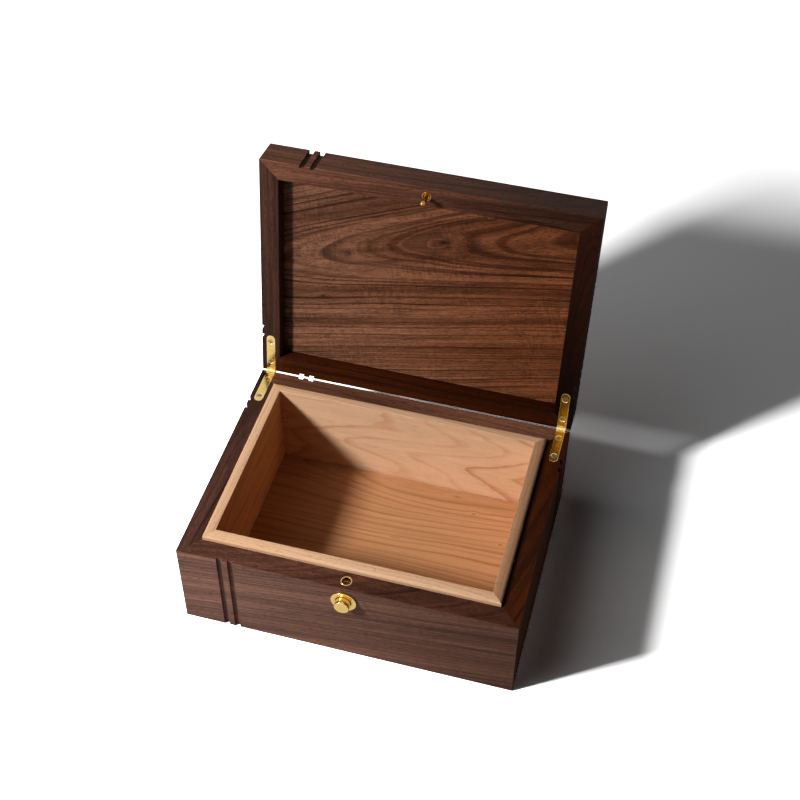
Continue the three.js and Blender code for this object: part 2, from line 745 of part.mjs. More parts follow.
// The catch pin: a root and a dished head in the rail, a shaft with a waist, and a ball.
function catchPin() {
  const dishTop = LID_RIM + PIN_DISH_DEPTH;
  const waistTop = PLUNGER_TOP + 2 * SIDE_GAP;
  const waistAngle = Math.asin(PIN_WAIST_RADIUS / BALL_RADIUS);
  const ballPoints = [];
  for (let i = 0; i <= BALL_STEPS; i++) {
    const angle = ((Math.PI - waistAngle) * i) / BALL_STEPS;
    ballPoints.push([BALL_RADIUS * Math.sin(angle), BALL_Z - BALL_RADIUS * Math.cos(angle)]);
  }
  ballPoints[0][0] = 0;
  return turnedUpright(
    [
      ...ballPoints,
      [PIN_WAIST_RADIUS, waistTop],
      [PIN_SHAFT_RADIUS, waistTop + PIN_SHAFT_RADIUS - PIN_WAIST_RADIUS],
      [PIN_SHAFT_RADIUS, LID_RIM + PIN_DISH_HOLLOW],
      [PIN_DISH_RADIUS - PIN_DISH_RIM, LID_RIM],
      [PIN_DISH_RADIUS, LID_RIM],
      [PIN_DISH_RADIUS, dishTop],
      [PIN_ROOT_RADIUS, dishTop],
      [PIN_ROOT_RADIUS, dishTop + PIN_ROOT_LENGTH - SEAT_GAP],
      [0, dishTop + PIN_ROOT_LENGTH - SEAT_GAP],
    ],
    0,
    PIN_Y,
    SMALL_ROUND_SIDES,
  );
}

function mesh(name, body, looks) {
  const material = new THREE.MeshStandardMaterial({ ...looks, flatShading: true });
  const made = new THREE.Mesh(surface(body), material);
  made.name = name;
  return made;
}

function caseGroup() {
  const group = new THREE.Group();
  for (const [name, body, looks] of [...caseBoards(), ...linerBoards()]) {
    group.add(mesh(name, body, looks));
  }
  group.add(mesh("case_bottom", caseBottom(), WALNUT));
  group.add(mesh("liner_floor", linerFloor(), MAPLE));
  for (const [side, x] of Object.entries(HINGE_PLACES)) {
    group.add(mesh(`hinge_${side}_case_leaf`, caseLeaf(x), BRASS));
    group.add(mesh(`hinge_${side}_pin`, hingePin(x), BRASS));
    SCREW_PLACES.forEach((place, i) => {
      group.add(mesh(`hinge_${side}_case_screw_${i + 1}`, screw(x, HINGE_Y - place, RIM, -1), BRASS));
    });
  }
  group.add(mesh("latch_barrel", latchBarrel(), BRASS));
  group.add(mesh("latch_bezel", latchBezel(), BRASS));
  group.add(mesh("latch_spring", latchSpring(), STEEL));
  group.add(mesh("strike_ferrule", strikeFerrule(), BRASS));
  return group;
}

function buttonGroup() {
  const group = new THREE.Group();
  group.add(mesh("latch_button", latchButton(), BRASS));
  group.add(mesh("latch_plunger", latchPlunger(), BRASS));
  return group;
}

// The lid's pieces are drawn shut. The inner group puts the hinges' axis at its origin, and the
// outer one turns the lid open about it.
function lidGroup() {
  const shut = new THREE.Group();
  for (const [name, body, looks] of lidRails()) {
    shut.add(mesh(name, body, looks));
  }
  shut.add(mesh("lid_panel", lidPanel(), PANEL_WALNUT));
  for (const [side, x] of Object.entries(HINGE_PLACES)) {
    shut.add(mesh(`hinge_${side}_lid_leaf`, lidLeaf(x), BRASS));
    SCREW_PLACES.forEach((place, i) => {
      shut.add(mesh(`hinge_${side}_lid_screw_${i + 1}`, screw(x, HINGE_Y - place, LID_RIM, 1), BRASS));
    });
  }
  shut.add(mesh("catch_pin", catchPin(), BRASS));
  shut.position.set(0, -HINGE_Y, -HINGE_Z);
  const open = new THREE.Group();
  open.add(shut);
  open.position.set(0, HINGE_Y, HINGE_Z);
  open.rotation.x = -THREE.MathUtils.degToRad(LID_OPEN_DEG);
  return open;
}

const box = new THREE.Group();
box.add(caseGroup(), buttonGroup(), lidGroup());

export default box;
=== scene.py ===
"""Looks for a mitred walnut keepsake box with a maple lining, brass rail hinges and a push-button latch.

Metres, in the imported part's own frame: the origin is under the middle of the case, -Y is the front and
+Z is up. At rest the lid stands open on its stop. "Shut" places are those with the lid closed.
"""

import json
import math
from collections import namedtuple

import bmesh
import bpy
from mathutils import Euler, Matrix, Vector


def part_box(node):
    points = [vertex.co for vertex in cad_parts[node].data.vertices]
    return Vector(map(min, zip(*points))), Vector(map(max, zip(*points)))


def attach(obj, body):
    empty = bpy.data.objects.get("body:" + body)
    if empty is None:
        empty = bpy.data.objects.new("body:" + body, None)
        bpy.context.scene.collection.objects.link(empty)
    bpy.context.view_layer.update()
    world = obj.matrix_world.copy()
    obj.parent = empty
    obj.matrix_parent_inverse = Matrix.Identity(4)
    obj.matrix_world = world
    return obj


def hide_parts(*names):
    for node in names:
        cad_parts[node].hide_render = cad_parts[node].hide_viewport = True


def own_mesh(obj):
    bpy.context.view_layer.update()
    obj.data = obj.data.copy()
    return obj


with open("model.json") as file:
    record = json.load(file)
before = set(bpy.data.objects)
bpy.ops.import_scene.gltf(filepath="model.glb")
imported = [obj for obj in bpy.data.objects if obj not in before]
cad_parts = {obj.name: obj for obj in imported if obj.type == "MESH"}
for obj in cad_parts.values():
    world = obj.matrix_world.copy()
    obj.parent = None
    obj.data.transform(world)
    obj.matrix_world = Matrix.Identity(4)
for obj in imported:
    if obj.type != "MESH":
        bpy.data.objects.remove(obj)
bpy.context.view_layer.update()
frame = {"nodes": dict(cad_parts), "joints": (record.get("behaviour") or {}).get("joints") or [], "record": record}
MM = 0.001

# Camera, as the photograph was taken
CAMERA_PLACE = (0.2284, -0.7870, 1.0740)
CAMERA_TURNS_DEG = (43.54, -0.31, 15.32)
LENS_MM = 63.45
SENSOR_MM = 36

# Studio: a near lamp at the front left, a wide soft one above the left side, and pale surroundings
KEY_PLACE = (-0.96, -0.771, 0.973)
KEY_AIM = (0.0, 0.03, 0.10)
KEY_SIZE = (0.15, 0.24)
KEY_WATTS = 31
SOFT_PLACE = (-1.5, -0.45, 1.7)
SOFT_SIZE = (2.6, 2.6)
SOFT_WATTS = 7
FILL_LEVEL = 0.0025
BACKDROP_LEVEL = 0.95
FLOOR_HALF = 8.0
FLOOR_DROP = 0.0002
FLOOR_COLOUR = (0.86, 0.86, 0.86, 1)
FLOOR_IN_VIEW = (3.0, 3.0, 3.0, 1)
FAR_FLOOR_STARTS = 0.7
FAR_FLOOR_WHITE = 1.15
FLOOR_ROUGHNESS = 0.9

# Mesh dressing
WELD = 2e-6
FLAT_DEG = 0.4
FOLD_DEG = 50
SMOOTH_DEG = 50
EASE_STEPS = 2
WOOD_EASE = 0.25 * MM
LEAF_EASE = 0.2 * MM
# The leaves' border strip takes the paler edge colour as a painted highlight.
LEAF_HIGHLIGHT_BORDER = 0.5 * MM
PARALLEL = 0.999
EDGE_STRIP = 0.7 * MM
MITRE_AREA = 150 * MM * MM
MITRE_SLACK = 0.02

# Wood: noise scales along and across the grain, and the levels where each mark starts and is full.
# A bend of the rings has a scale along, a scale across, a reach and a detail.
BENDS = ((1.6, 6, 3.0, 1.0), (7, 30, 0.8, 0.0), (30, 170, 0.08, 1.0))
RING_UNEVEN = 2.4
RING_SHARPNESS = 1.7
BAND_SHOWS = (0.36, 0.66)
STREAK_SHOWS = (0.47, 0.68)
FIBRE_SCALE = (7, 1100, 1100)
TONE_SCALE = (2.0, 120, 120)
FIBRE_SHOWS = (0.3, 0.7)
PORE_SCALE = (190, 2100, 2100)
PORE_SHOWS = (0.55, 0.65)
# Rippled marks across the grain, in patches, lighten and darken the colour: partly curl figure, partly painted
# sheen.
RIPPLE_SHEEN_SCALE = (640, 90, 90)
RIPPLE_SHEEN_SHOWS = (0.35, 0.65)
RIPPLE_SHEEN_PATCH_SCALE = 16.0
RIPPLE_SHEEN_PATCH_SHOWS = (0.42, 0.6)
FLECK_SCALE = (260, 1000, 1000)
FLECK_SHOWS = (0.58, 0.68)
WOOD_ROUGHNESS = 0.47
WOOD_GLOSS = 0.05
WOOD_BUMP = 0.35
WOOD_BUMP_DEPTH = 0.3 * MM
CUT_SPACING = 3.1
KNOT_REACH = 4.0
KNOT_SQUEEZE = 0.55
# The rim zone, from the top down, that takes a board's rim tint of painted light.
RIM_DEPTH = 0.6 * MM
LIP_DEPTH = 2.6 * MM
RIM_FADE = 0.75
# Eased edges paler in patches: partly worn by use, partly a painted highlight where they catch the lamp.
WEAR_AND_HIGHLIGHT_SCALE = 70.0
WEAR_AND_HIGHLIGHT_DEPTH = 0.6
WEAR_SMOOTHS = 0.12
WEAR_AND_HIGHLIGHT_PALER = 1.25

# Metal: the scales of its fine marks, along and across them, and of its mottle
MARK_SCALE = (110, 4200, 4200)
MOTTLE_SCALE = 420.0
MOTTLE_SHOWS = (0.42, 0.75)
MOTTLE_DULLS = 0.45
METAL_BUMP = 0.15
METAL_BUMP_DEPTH = 0.04 * MM

# Turned brass
TURNED_SIDES = 96
ARC_STEPS = 5
BEZEL_BORE = 7.2 * MM
BEZEL_SLEEVE = 9.3 * MM
BEZEL_SEAT_GAP = 0.2 * MM
BEZEL_ROUND = 0.45 * MM
BUTTON_ROUND = 0.55 * MM
BUTTON_SOCKET_RADIUS = 2.7 * MM
BUTTON_SOCKET_DEPTH = 4.0 * MM
FERRULE_BORE = 4.0 * MM
FERRULE_ROUND = 0.4 * MM
BALL_RADIUS = 2.7 * MM
BALL_STEPS = 18
WAIST_RADIUS = 1.5 * MM
WAIST_ABOVE_BALL = 5.1 * MM
SHAFT_RADIUS = 1.8 * MM
DISH_RIM = 0.8 * MM
DISH_HOLLOW = 1.4 * MM
DISH_DEPTH = 3.2 * MM
DISH_STEPS = 8
ROOT_RADIUS = 2.0 * MM

# Screws and spring
SCREW_SIDES = 48
SCREW_HEAD_HEIGHT = 1.5 * MM
SCREW_SHANK_RADIUS = 1.2 * MM
THREAD_TURNS = 9
THREAD_RADIUS = 0.12 * MM
THREAD_SIDES = 4
THREAD_STEPS_PER_TURN = 16
THREAD_SHARE = 0.75
CROSS_WIDTH = 0.75 * MM
CROSS_LENGTH = 3.0 * MM
CROSS_DEPTH = 0.9 * MM
SCREW_TURN_STEP = 2.4
SPRING_TURNS = 7
SPRING_WIRE_RADIUS = 0.35 * MM
SPRING_STEPS_PER_TURN = 32
SPRING_WIRE_SIDES = 12

# Joints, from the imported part
JOINTS = {joint["name"]: joint for joint in frame["joints"]}
HINGE_PLACE = Vector(JOINTS["lid_hinge"]["pos_m"])
LID_OPEN = math.radians(JOINTS["lid_hinge"]["range_deg"][1])
REST_TO_SHUT = (
    Matrix.Translation(HINGE_PLACE)
    @ Matrix.Rotation(LID_OPEN, 4, "X")
    @ Matrix.Translation(-HINGE_PLACE)
)
SHUT_TO_REST = REST_TO_SHUT.inverted()
SLOTS = {part["node"]: part["material_slot"] for part in frame["record"]["subparts"]}
BODIES = {node: body for body, nodes in frame["record"]["behaviour"]["bodies"].items() for node in nodes}


def shut_box(node):
    """Lowest and highest corners of a CAD node with the lid shut."""
    turn = REST_TO_SHUT if BODIES[node] == "lid" else Matrix.Identity(4)
    places = [turn @ vertex.co for vertex in frame["nodes"][node].data.vertices]
    low = Vector([min(place[axis] for place in places) for axis in range(3)])
    high = Vector([max(place[axis] for place in places) for axis in range(3)])
    return low, high


class Graph:
    """Adds nodes to a node tree. A value is a number, a tuple or another node's output."""

    def __init__(self, tree):
        self.tree = tree

    def feed(self, socket, value):
        if isinstance(value, bpy.types.NodeSocket):
            self.tree.links.new(value, socket)
        else:
            socket.default_value = value

    def add(self, kind, values=(), **settings):
        """One node. Values are a list in socket order or a dict by socket name."""
        node = self.tree.nodes.new(kind)
        for name, setting in settings.items():
            setattr(node, name, setting)
        pairs = values.items() if isinstance(values, dict) else enumerate(values)
        for key, value in pairs:
            self.feed(node.inputs[key], value)
        return node

    def maths(self, operation, *values):
        return self.add("ShaderNodeMath", values, operation=operation).outputs[0]

    def vector(self, operation, *values):
        node = self.add("ShaderNodeVectorMath", operation=operation)
        for socket, value in zip(node.inputs, values):
            self.feed(socket, value)
        single = operation in ("LENGTH", "DOT_PRODUCT", "DISTANCE")
        return node.outputs["Value" if single else "Vector"]

    def scaled(self, vector, factor):
        node = self.add("ShaderNodeVectorMath", {"Vector": vector, "Scale": factor}, operation="SCALE")
        return node.outputs["Vector"]

    def split(self, vector):
        return self.add("ShaderNodeSeparateXYZ", [vector]).outputs

    def combine(self, x, y, z):
        return self.add("ShaderNodeCombineXYZ", [x, y, z]).outputs[0]

    def noise(self, vector, detail=2.0, roughness=0.5, colour=False):
        values = {"Vector": vector, "Scale": 1.0, "Detail": detail, "Roughness": roughness}
        node = self.add("ShaderNodeTexNoise", values)
        return node.outputs["Color" if colour else "Fac"]

    def ramp(self, value, low, high, to_low=0.0, to_high=1.0):
        """The value, eased from one range to another and held at its ends."""
        values = {
            "Value": value,
            "From Min": low,
            "From Max": high,
            "To Min": to_low,
            "To Max": to_high,
        }
        return self.add("ShaderNodeMapRange", values, interpolation_type="SMOOTHSTEP").outputs[0]

    def mix(self, factor, first, second, blend="MIX"):
        node = self.add("ShaderNodeMix", data_type="RGBA", blend_type=blend)
        self.feed(node.inputs[0], factor)
        self.feed(node.inputs[6], first)
        self.feed(node.inputs[7], second)
        return node.outputs[2]

    def group(self, tree, values):
        node = self.tree.nodes.new("ShaderNodeGroup")
        node.node_tree = tree
        for name, value in values.items():
            self.feed(node.inputs[name], value)
        return node.outputs


def new_group(name, inputs, outputs):
    """A shader group with named sockets, as (graph, its inputs, its output node)."""
    tree = bpy.data.node_groups.new(name, "ShaderNodeTree")
    for title, (kind, default) in inputs.items():
        socket = tree.interface.new_socket(title, in_out="INPUT", socket_type=kind)
        socket.default_value = default
    for title, kind in outputs.items():
        tree.interface.new_socket(title, in_out="OUTPUT", socket_type=kind)
    graph = Graph(tree)
    return graph, graph.add("NodeGroupInput").outputs, graph.add("NodeGroupOutput").inputs


NUMBER, VECTOR, COLOUR = "NodeSocketFloat", "NodeSocketVector", "NodeSocketColor"


def make_wood_figure():
    """Solid wood: wavy growth rings round the pith, bands and streaks, fibres, pores and small flecks.

    Place is in metres: x along the grain, y across it, and z out from the pith.
    """
    g, inp, out = new_group(
        "wood figure",
        {
            "Place": (VECTOR, (0, 0, 0)),
            "Ring Width": (NUMBER, 0.004),
            "Line Share": (NUMBER, 0.8),
            "Waver": (NUMBER, 0.006),
            "Ring Depth": (NUMBER, 0.6),
            "Band Depth": (NUMBER, 0.5),
            "Fibre Depth": (NUMBER, 0.5),
            "Pore Depth": (NUMBER, 0.5),
            "Fleck Depth": (NUMBER, 0.0),
            "Ripple Sheen Depth": (NUMBER, 0.0),
            "Streak Depth": (NUMBER, 0.5),
            "Pale": (COLOUR, (0.4, 0.25, 0.15, 1)),
            "Deep": (COLOUR, (0.1, 0.05, 0.03, 1)),
            "Stain": (COLOUR, (0.15, 0.08, 0.07, 1)),
        },
        {"Color": COLOUR, "Roughness": NUMBER, "Height": NUMBER},
    )
    place = inp["Place"]
    x, y, z = g.split(place)

    def wander(along, across, reach, detail):
        raw = g.noise(g.vector("MULTIPLY", place, (along, across, across)), detail, colour=True)
        centred = g.vector("SUBTRACT", raw, (0.5, 0.5, 0.5))
        return g.scaled(centred, g.maths("MULTIPLY", inp["Waver"], reach))

    bent = g.combine(0.0, y, z)
    for bend in BENDS:
        bent = g.vector("ADD", bent, g.vector("MULTIPLY", wander(*bend), (0, 1, 1)))
    radius = g.vector("LENGTH", bent)
    rings = g.maths("DIVIDE", radius, inp["Ring Width"])
    uneven = g.noise(g.combine(g.maths("MULTIPLY", rings, 0.23), g.maths("MULTIPLY", x, 0.6), 3.7), 1.0)
    rings = g.maths("ADD", rings, g.maths("MULTIPLY", uneven, RING_UNEVEN))
    count = g.maths("FLOOR", rings)
    part = g.maths("FRACT", rings)
    start = g.maths("SUBTRACT", 1.0, inp["Line Share"])
    crest = g.maths("MULTIPLY_ADD", inp["Line Share"], -0.2, 1.0)
    late = g.maths("MULTIPLY", g.ramp(part, start, crest), g.ramp(part, crest, 1.0, 1.0, 0.0))
    own = g.add("ShaderNodeTexWhiteNoise", {"W": count}, noise_dimensions="1D").outputs["Value"]
    fade = g.noise(g.combine(g.maths("MULTIPLY", x, 9.0), count, 0.4), 1.0)
    ring = g.maths("POWER", late, RING_SHARPNESS)
    ring = g.maths("MULTIPLY", ring, g.ramp(own, 0.0, 1.0, 0.4, 1.0))
    ring = g.maths("MULTIPLY", ring, g.ramp(fade, 0.32, 0.6, 0.55, 1.0))

    drawn_out = [g.maths("MULTIPLY", *pair) for pair in ((x, 1.4), (rings, 0.36), (z, 6))]
    band = g.ramp(g.noise(g.combine(*drawn_out), 3.0), *BAND_SHOWS)
    fine = g.noise(g.combine(g.maths("MULTIPLY", x, 3.0), g.maths("MULTIPLY", rings, 3.1), 8.2), 3.0, 0.6)
    fine = g.maths("MULTIPLY", g.ramp(fine, *STREAK_SHOWS), inp["Streak Depth"])
    fibre = g.noise(g.vector("MULTIPLY", place, FIBRE_SCALE), 3.0, 0.65)
    fibre = g.ramp(fibre, *FIBRE_SHOWS, -0.5, 0.5)
    tone = g.noise(g.vector("MULTIPLY", place, TONE_SCALE), 2.0)
    tone = g.ramp(tone, *FIBRE_SHOWS, -0.5, 0.5)
    pore = g.noise(g.vector("MULTIPLY", place, PORE_SCALE), 0.0)
    pore = g.maths("MULTIPLY", g.ramp(pore, *PORE_SHOWS), g.ramp(part, 0.2, 0.9, 1.0, 0.45))
    # Rippled marks across the grain, in patches: partly curl figure, partly painted sheen in the colour.
    ripple_sheen = g.noise(g.vector("MULTIPLY", place, RIPPLE_SHEEN_SCALE), 1.0)
    ripple_sheen = g.maths("MULTIPLY", g.ramp(ripple_sheen, *RIPPLE_SHEEN_SHOWS, -0.5, 0.5), inp["Ripple Sheen Depth"])
    patches = g.noise(g.scaled(place, RIPPLE_SHEEN_PATCH_SCALE))
    ripple_sheen = g.maths("MULTIPLY", ripple_sheen, g.ramp(patches, *RIPPLE_SHEEN_PATCH_SHOWS))
    fleck = g.noise(g.vector("MULTIPLY", place, FLECK_SCALE), 1.0)
    fleck = g.maths("MULTIPLY", g.ramp(fleck, *FLECK_SHOWS), inp["Fleck Depth"])
    pores = g.maths("MULTIPLY", pore, inp["Pore Depth"])

    colour = g.mix(g.maths("MULTIPLY", band, inp["Band Depth"]), inp["Pale"], inp["Stain"])
    colour = g.mix(fine, colour, inp["Stain"])
    colour = g.mix(g.maths("MULTIPLY", ring, inp["Ring Depth"]), colour, inp["Deep"])
    colour = g.mix(fleck, colour, inp["Deep"])
    colour = g.mix(pores, colour, inp["Deep"])
    streak = g.maths("MULTIPLY_ADD", fibre, inp["Fibre Depth"], 1.0)
    streak = g.maths("MULTIPLY_ADD", tone, g.maths("MULTIPLY", inp["Fibre Depth"], 0.8), streak)
    colour = g.scaled(colour, g.maths("ADD", streak, ripple_sheen))

    rough = g.maths("MULTIPLY_ADD", pores, 0.2, WOOD_ROUGHNESS)
    rough = g.maths("MULTIPLY_ADD", fibre, 0.1, rough)
    height = g.maths("MULTIPLY_ADD", pores, -1.0, g.maths("MULTIPLY", fibre, 0.4))
    height = g.maths("MULTIPLY_ADD", ring, 0.25, height)
    height = g.maths("MULTIPLY_ADD", ripple_sheen, 1.5, height)
    g.feed(out["Color"], colour)
    g.feed(out["Roughness"], rough)
    g.feed(out["Height"], height)
    return g.tree


def make_knot():
    """A knot or a short streak: rings flow round it and close in it. Mask is 1 at its heart."""
    g, inp, out = new_group(
        "knot",
        {
            "Place": (VECTOR, (0, 0, 0)),
            "Centre": (VECTOR, (0, 0, 0)),
            "Size": (NUMBER, 0.005),
            "Stretch": (NUMBER, 2.0),
            "Lift": (NUMBER, 0.005),
        },
        {"Place": VECTOR, "Mask": NUMBER},
    )
    away = g.vector("SUBTRACT", inp["Place"], inp["Centre"])
    dx, dy, _ = g.split(away)
    flat = g.combine(g.maths("DIVIDE", dx, inp["Stretch"]), dy, 0.0)
    span = g.maths("DIVIDE", g.vector("LENGTH", flat), inp["Size"])
    bump = g.ramp(span, 0.0, KNOT_REACH, 1.0, 0.0)
    heart = g.ramp(span, 0.2, 1.0, 1.0, 0.0)
    squeeze = g.maths("MULTIPLY", g.maths("MULTIPLY", dy, bump), -KNOT_SQUEEZE)
    lift = g.maths("MULTIPLY", bump, inp["Lift"])
    g.feed(out["Place"], g.vector("ADD", inp["Place"], g.combine(0.0, squeeze, lift)))
    g.feed(out["Mask"], heart)
    return g.tree


def make_edge_wear_and_highlight():
    """A mask for the eased edges, broken up in patches: partly worn by use, partly a painted highlight where the
    edges catch the lamp.
    """
    g, inp, out = new_group(
        "edge wear",
        {"Place": (VECTOR, (0, 0, 0)), "Edge": (NUMBER, 0.0), "Depth": (NUMBER, 0.5)},
        {"Mask": NUMBER},
    )
    patches = g.noise(g.scaled(inp["Place"], WEAR_AND_HIGHLIGHT_SCALE), 3.0, 0.6)
    rubbed_and_lit = g.maths("MULTIPLY", inp["Edge"], g.ramp(patches, 0.35, 0.62, 0.15, 1.0))
    g.feed(out["Mask"], g.maths("MULTIPLY", rubbed_and_lit, inp["Depth"]))
    return g.tree


def make_brushed_metal():
    """Fine marks along X of Place, a soft mottle, and a colour that warms a little where it is duller."""
    g, inp, out = new_group(
        "brushed metal",
        {
            "Place": (VECTOR, (0, 0, 0)),
            "Bright": (COLOUR, (0.9, 0.7, 0.4, 1)),
            "Dull": (COLOUR, (0.7, 0.45, 0.2, 1)),
            "Marks": (NUMBER, 0.3),
            "Gloss Roughness": (NUMBER, 0.18),
        },
        {"Color": COLOUR, "Roughness": NUMBER, "Height": NUMBER},
    )
    place = inp["Place"]
    marks = g.noise(g.vector("MULTIPLY", place, MARK_SCALE), 2.0, 0.6)
    marks = g.ramp(marks, 0.3, 0.7)
    mottle = g.noise(g.scaled(place, MOTTLE_SCALE), 3.0, 0.6)
    worn = g.ramp(mottle, *MOTTLE_SHOWS)
    rough = g.maths("MULTIPLY_ADD", marks, g.maths("MULTIPLY", inp["Marks"], 0.2), inp["Gloss Roughness"])
    rough = g.maths("MULTIPLY_ADD", worn, 0.06, rough)
    dull = g.maths("MULTIPLY", worn, MOTTLE_DULLS)
    dull = g.maths("MULTIPLY_ADD", marks, g.maths("MULTIPLY", inp["Marks"], 0.5), dull)
    g.feed(out["Color"], g.mix(dull, inp["Bright"], inp["Dull"]))
    g.feed(out["Roughness"], rough)
    g.feed(out["Height"], g.maths("MULTIPLY", marks, inp["Marks"]))
    return g.tree


WOOD_FIGURE = make_wood_figure()
KNOT = make_knot()
EDGE_WEAR_AND_HIGHLIGHT = make_edge_wear_and_highlight()
BRUSHED_METAL = make_brushed_metal()


def new_material(name):
    """An empty material, as (material, graph, its Principled shader)."""
    material = bpy.data.materials.new(name)
    material.use_nodes = True
    graph = Graph(material.node_tree)
    shader = material.node_tree.nodes["Principled BSDF"]
    return material, graph, shader


# Plain walnut; on the front board its purple-grey cast is partly painted sheen from the lamp, which the rim tint
# takes off the rim.
WALNUT = {
    "Ring Width": 0.0052,
    "Line Share": 0.55,
    "Waver": 0.007,
    "Ring Depth": 0.6,
    "Band Depth": 0.5,
    "Fibre Depth": 0.45,
    "Pore Depth": 0.55,
    "Streak Depth": 0.75,
    "Pale": (0.228, 0.107, 0.072, 1),
    "Deep": (0.026, 0.009, 0.006, 1),
    "Stain": (0.082, 0.034, 0.025, 1),
}
WARM_WALNUT = {
    **WALNUT,
    "Pale": (0.205, 0.082, 0.045, 1),
    "Deep": (0.020, 0.006, 0.004, 1),
    "Stain": (0.062, 0.021, 0.012, 1),
}
# Walnut of the left boards: its purple-grey cast is painted sheen from the lamp at the left.
PURPLE_SHEEN_WALNUT = {
    **WALNUT,
    "Pale": (0.105, 0.043, 0.029, 1),
    "Deep": (0.014, 0.005, 0.004, 1),
    "Stain": (0.036, 0.014, 0.011, 1),
}
# Walnut of the right boards, without the painted sheen of the left ones.
DARK_WALNUT = {
    **WALNUT,
    "Pale": (0.073, 0.0142, 0.0024, 1),
    "Deep": (0.004, 0.001, 0.0005, 1),
    "Stain": (0.013, 0.0038, 0.0016, 1),
}
PANEL_WALNUT = {
    **WALNUT,
    "Ring Width": 0.0042,
    "Line Share": 0.5,
    "Ring Depth": 1.0,
    "Band Depth": 0.7,
    "Fibre Depth": 0.55,
    "Ripple Sheen Depth": 0.3,
    "Streak Depth": 0.95,
    "Pale": (0.243, 0.096, 0.046, 1),
    "Deep": (0.012, 0.003, 0.0015, 1),
    "Stain": (0.080, 0.025, 0.009, 1),
}
MAPLE = {
    "Ring Width": 0.0038,
    "Line Share": 0.42,
    "Waver": 0.015,
    "Ring Depth": 0.8,
    "Band Depth": 0.35,
    "Fibre Depth": 0.12,
    "Pore Depth": 0.06,
    "Fleck Depth": 0.12,
    "Streak Depth": 0.35,
    "Pale": (0.69, 0.43, 0.26, 1),
    "Deep": (0.47, 0.185, 0.075, 1),
    "Stain": (0.59, 0.335, 0.18, 1),
}
LIP_MAPLE = {**MAPLE, "Fleck Depth": 0.4}
FLOOR_MAPLE = {
    **MAPLE,
    "Ring Width": 0.0072,
    "Line Share": 0.6,
    "Waver": 0.022,
    "Ring Depth": 0.65,
    "Streak Depth": 0.6,
    "Pale": (0.525, 0.262, 0.122, 1),
    "Deep": (0.28, 0.095, 0.028, 1),
    "Stain": (0.39, 0.172, 0.070, 1),
}


class Cut:
    """How a board was cut from its log: the grain, the face that shows, and where the pith lies from it.

    Rise tilts the grain out of the face, and slant turns it within the face.
    """

    def __init__(self, grain, face, pith_depth, pith_across, rise, slant):
        self.grain = Vector(grain)
        self.face = Vector(face)
        self.pith_depth = pith_depth
        self.pith_across = pith_across
        self.rise = rise
        self.slant = slant

    def mapping(self, node):
        """Location and turn that take a point of the board at rest to a place in the wood."""
        low, high = shut_box(node)
        across = self.face.cross(self.grain)
        surface = (low + high) / 2 + self.face * abs(self.face.dot(high - low)) / 2
        along = (self.grain + self.rise * self.face + self.slant * across).normalized()
        out = (self.face - self.face.dot(along) * along).normalized()
        side = out.cross(along)
        pith = surface - self.pith_depth * self.face + self.pith_across * across
        to_wood = Matrix((along, side, out)).to_4x4() @ Matrix.Translation(-pith)
        if BODIES[node] == "lid":
            to_wood = to_wood @ REST_TO_SHUT
        return to_wood.to_translation(), to_wood.to_euler("XYZ")


# A knot is placed from the middle of its board. Tones are the tints at the grain's two ends: the wood's own tone
# together with painted sheen from the lamp at the left and painted shade.
Knot = namedtuple("Knot", "along across size stretch lift darkness")
Board = namedtuple("Board", "species cut tones knots", defaults=((),))


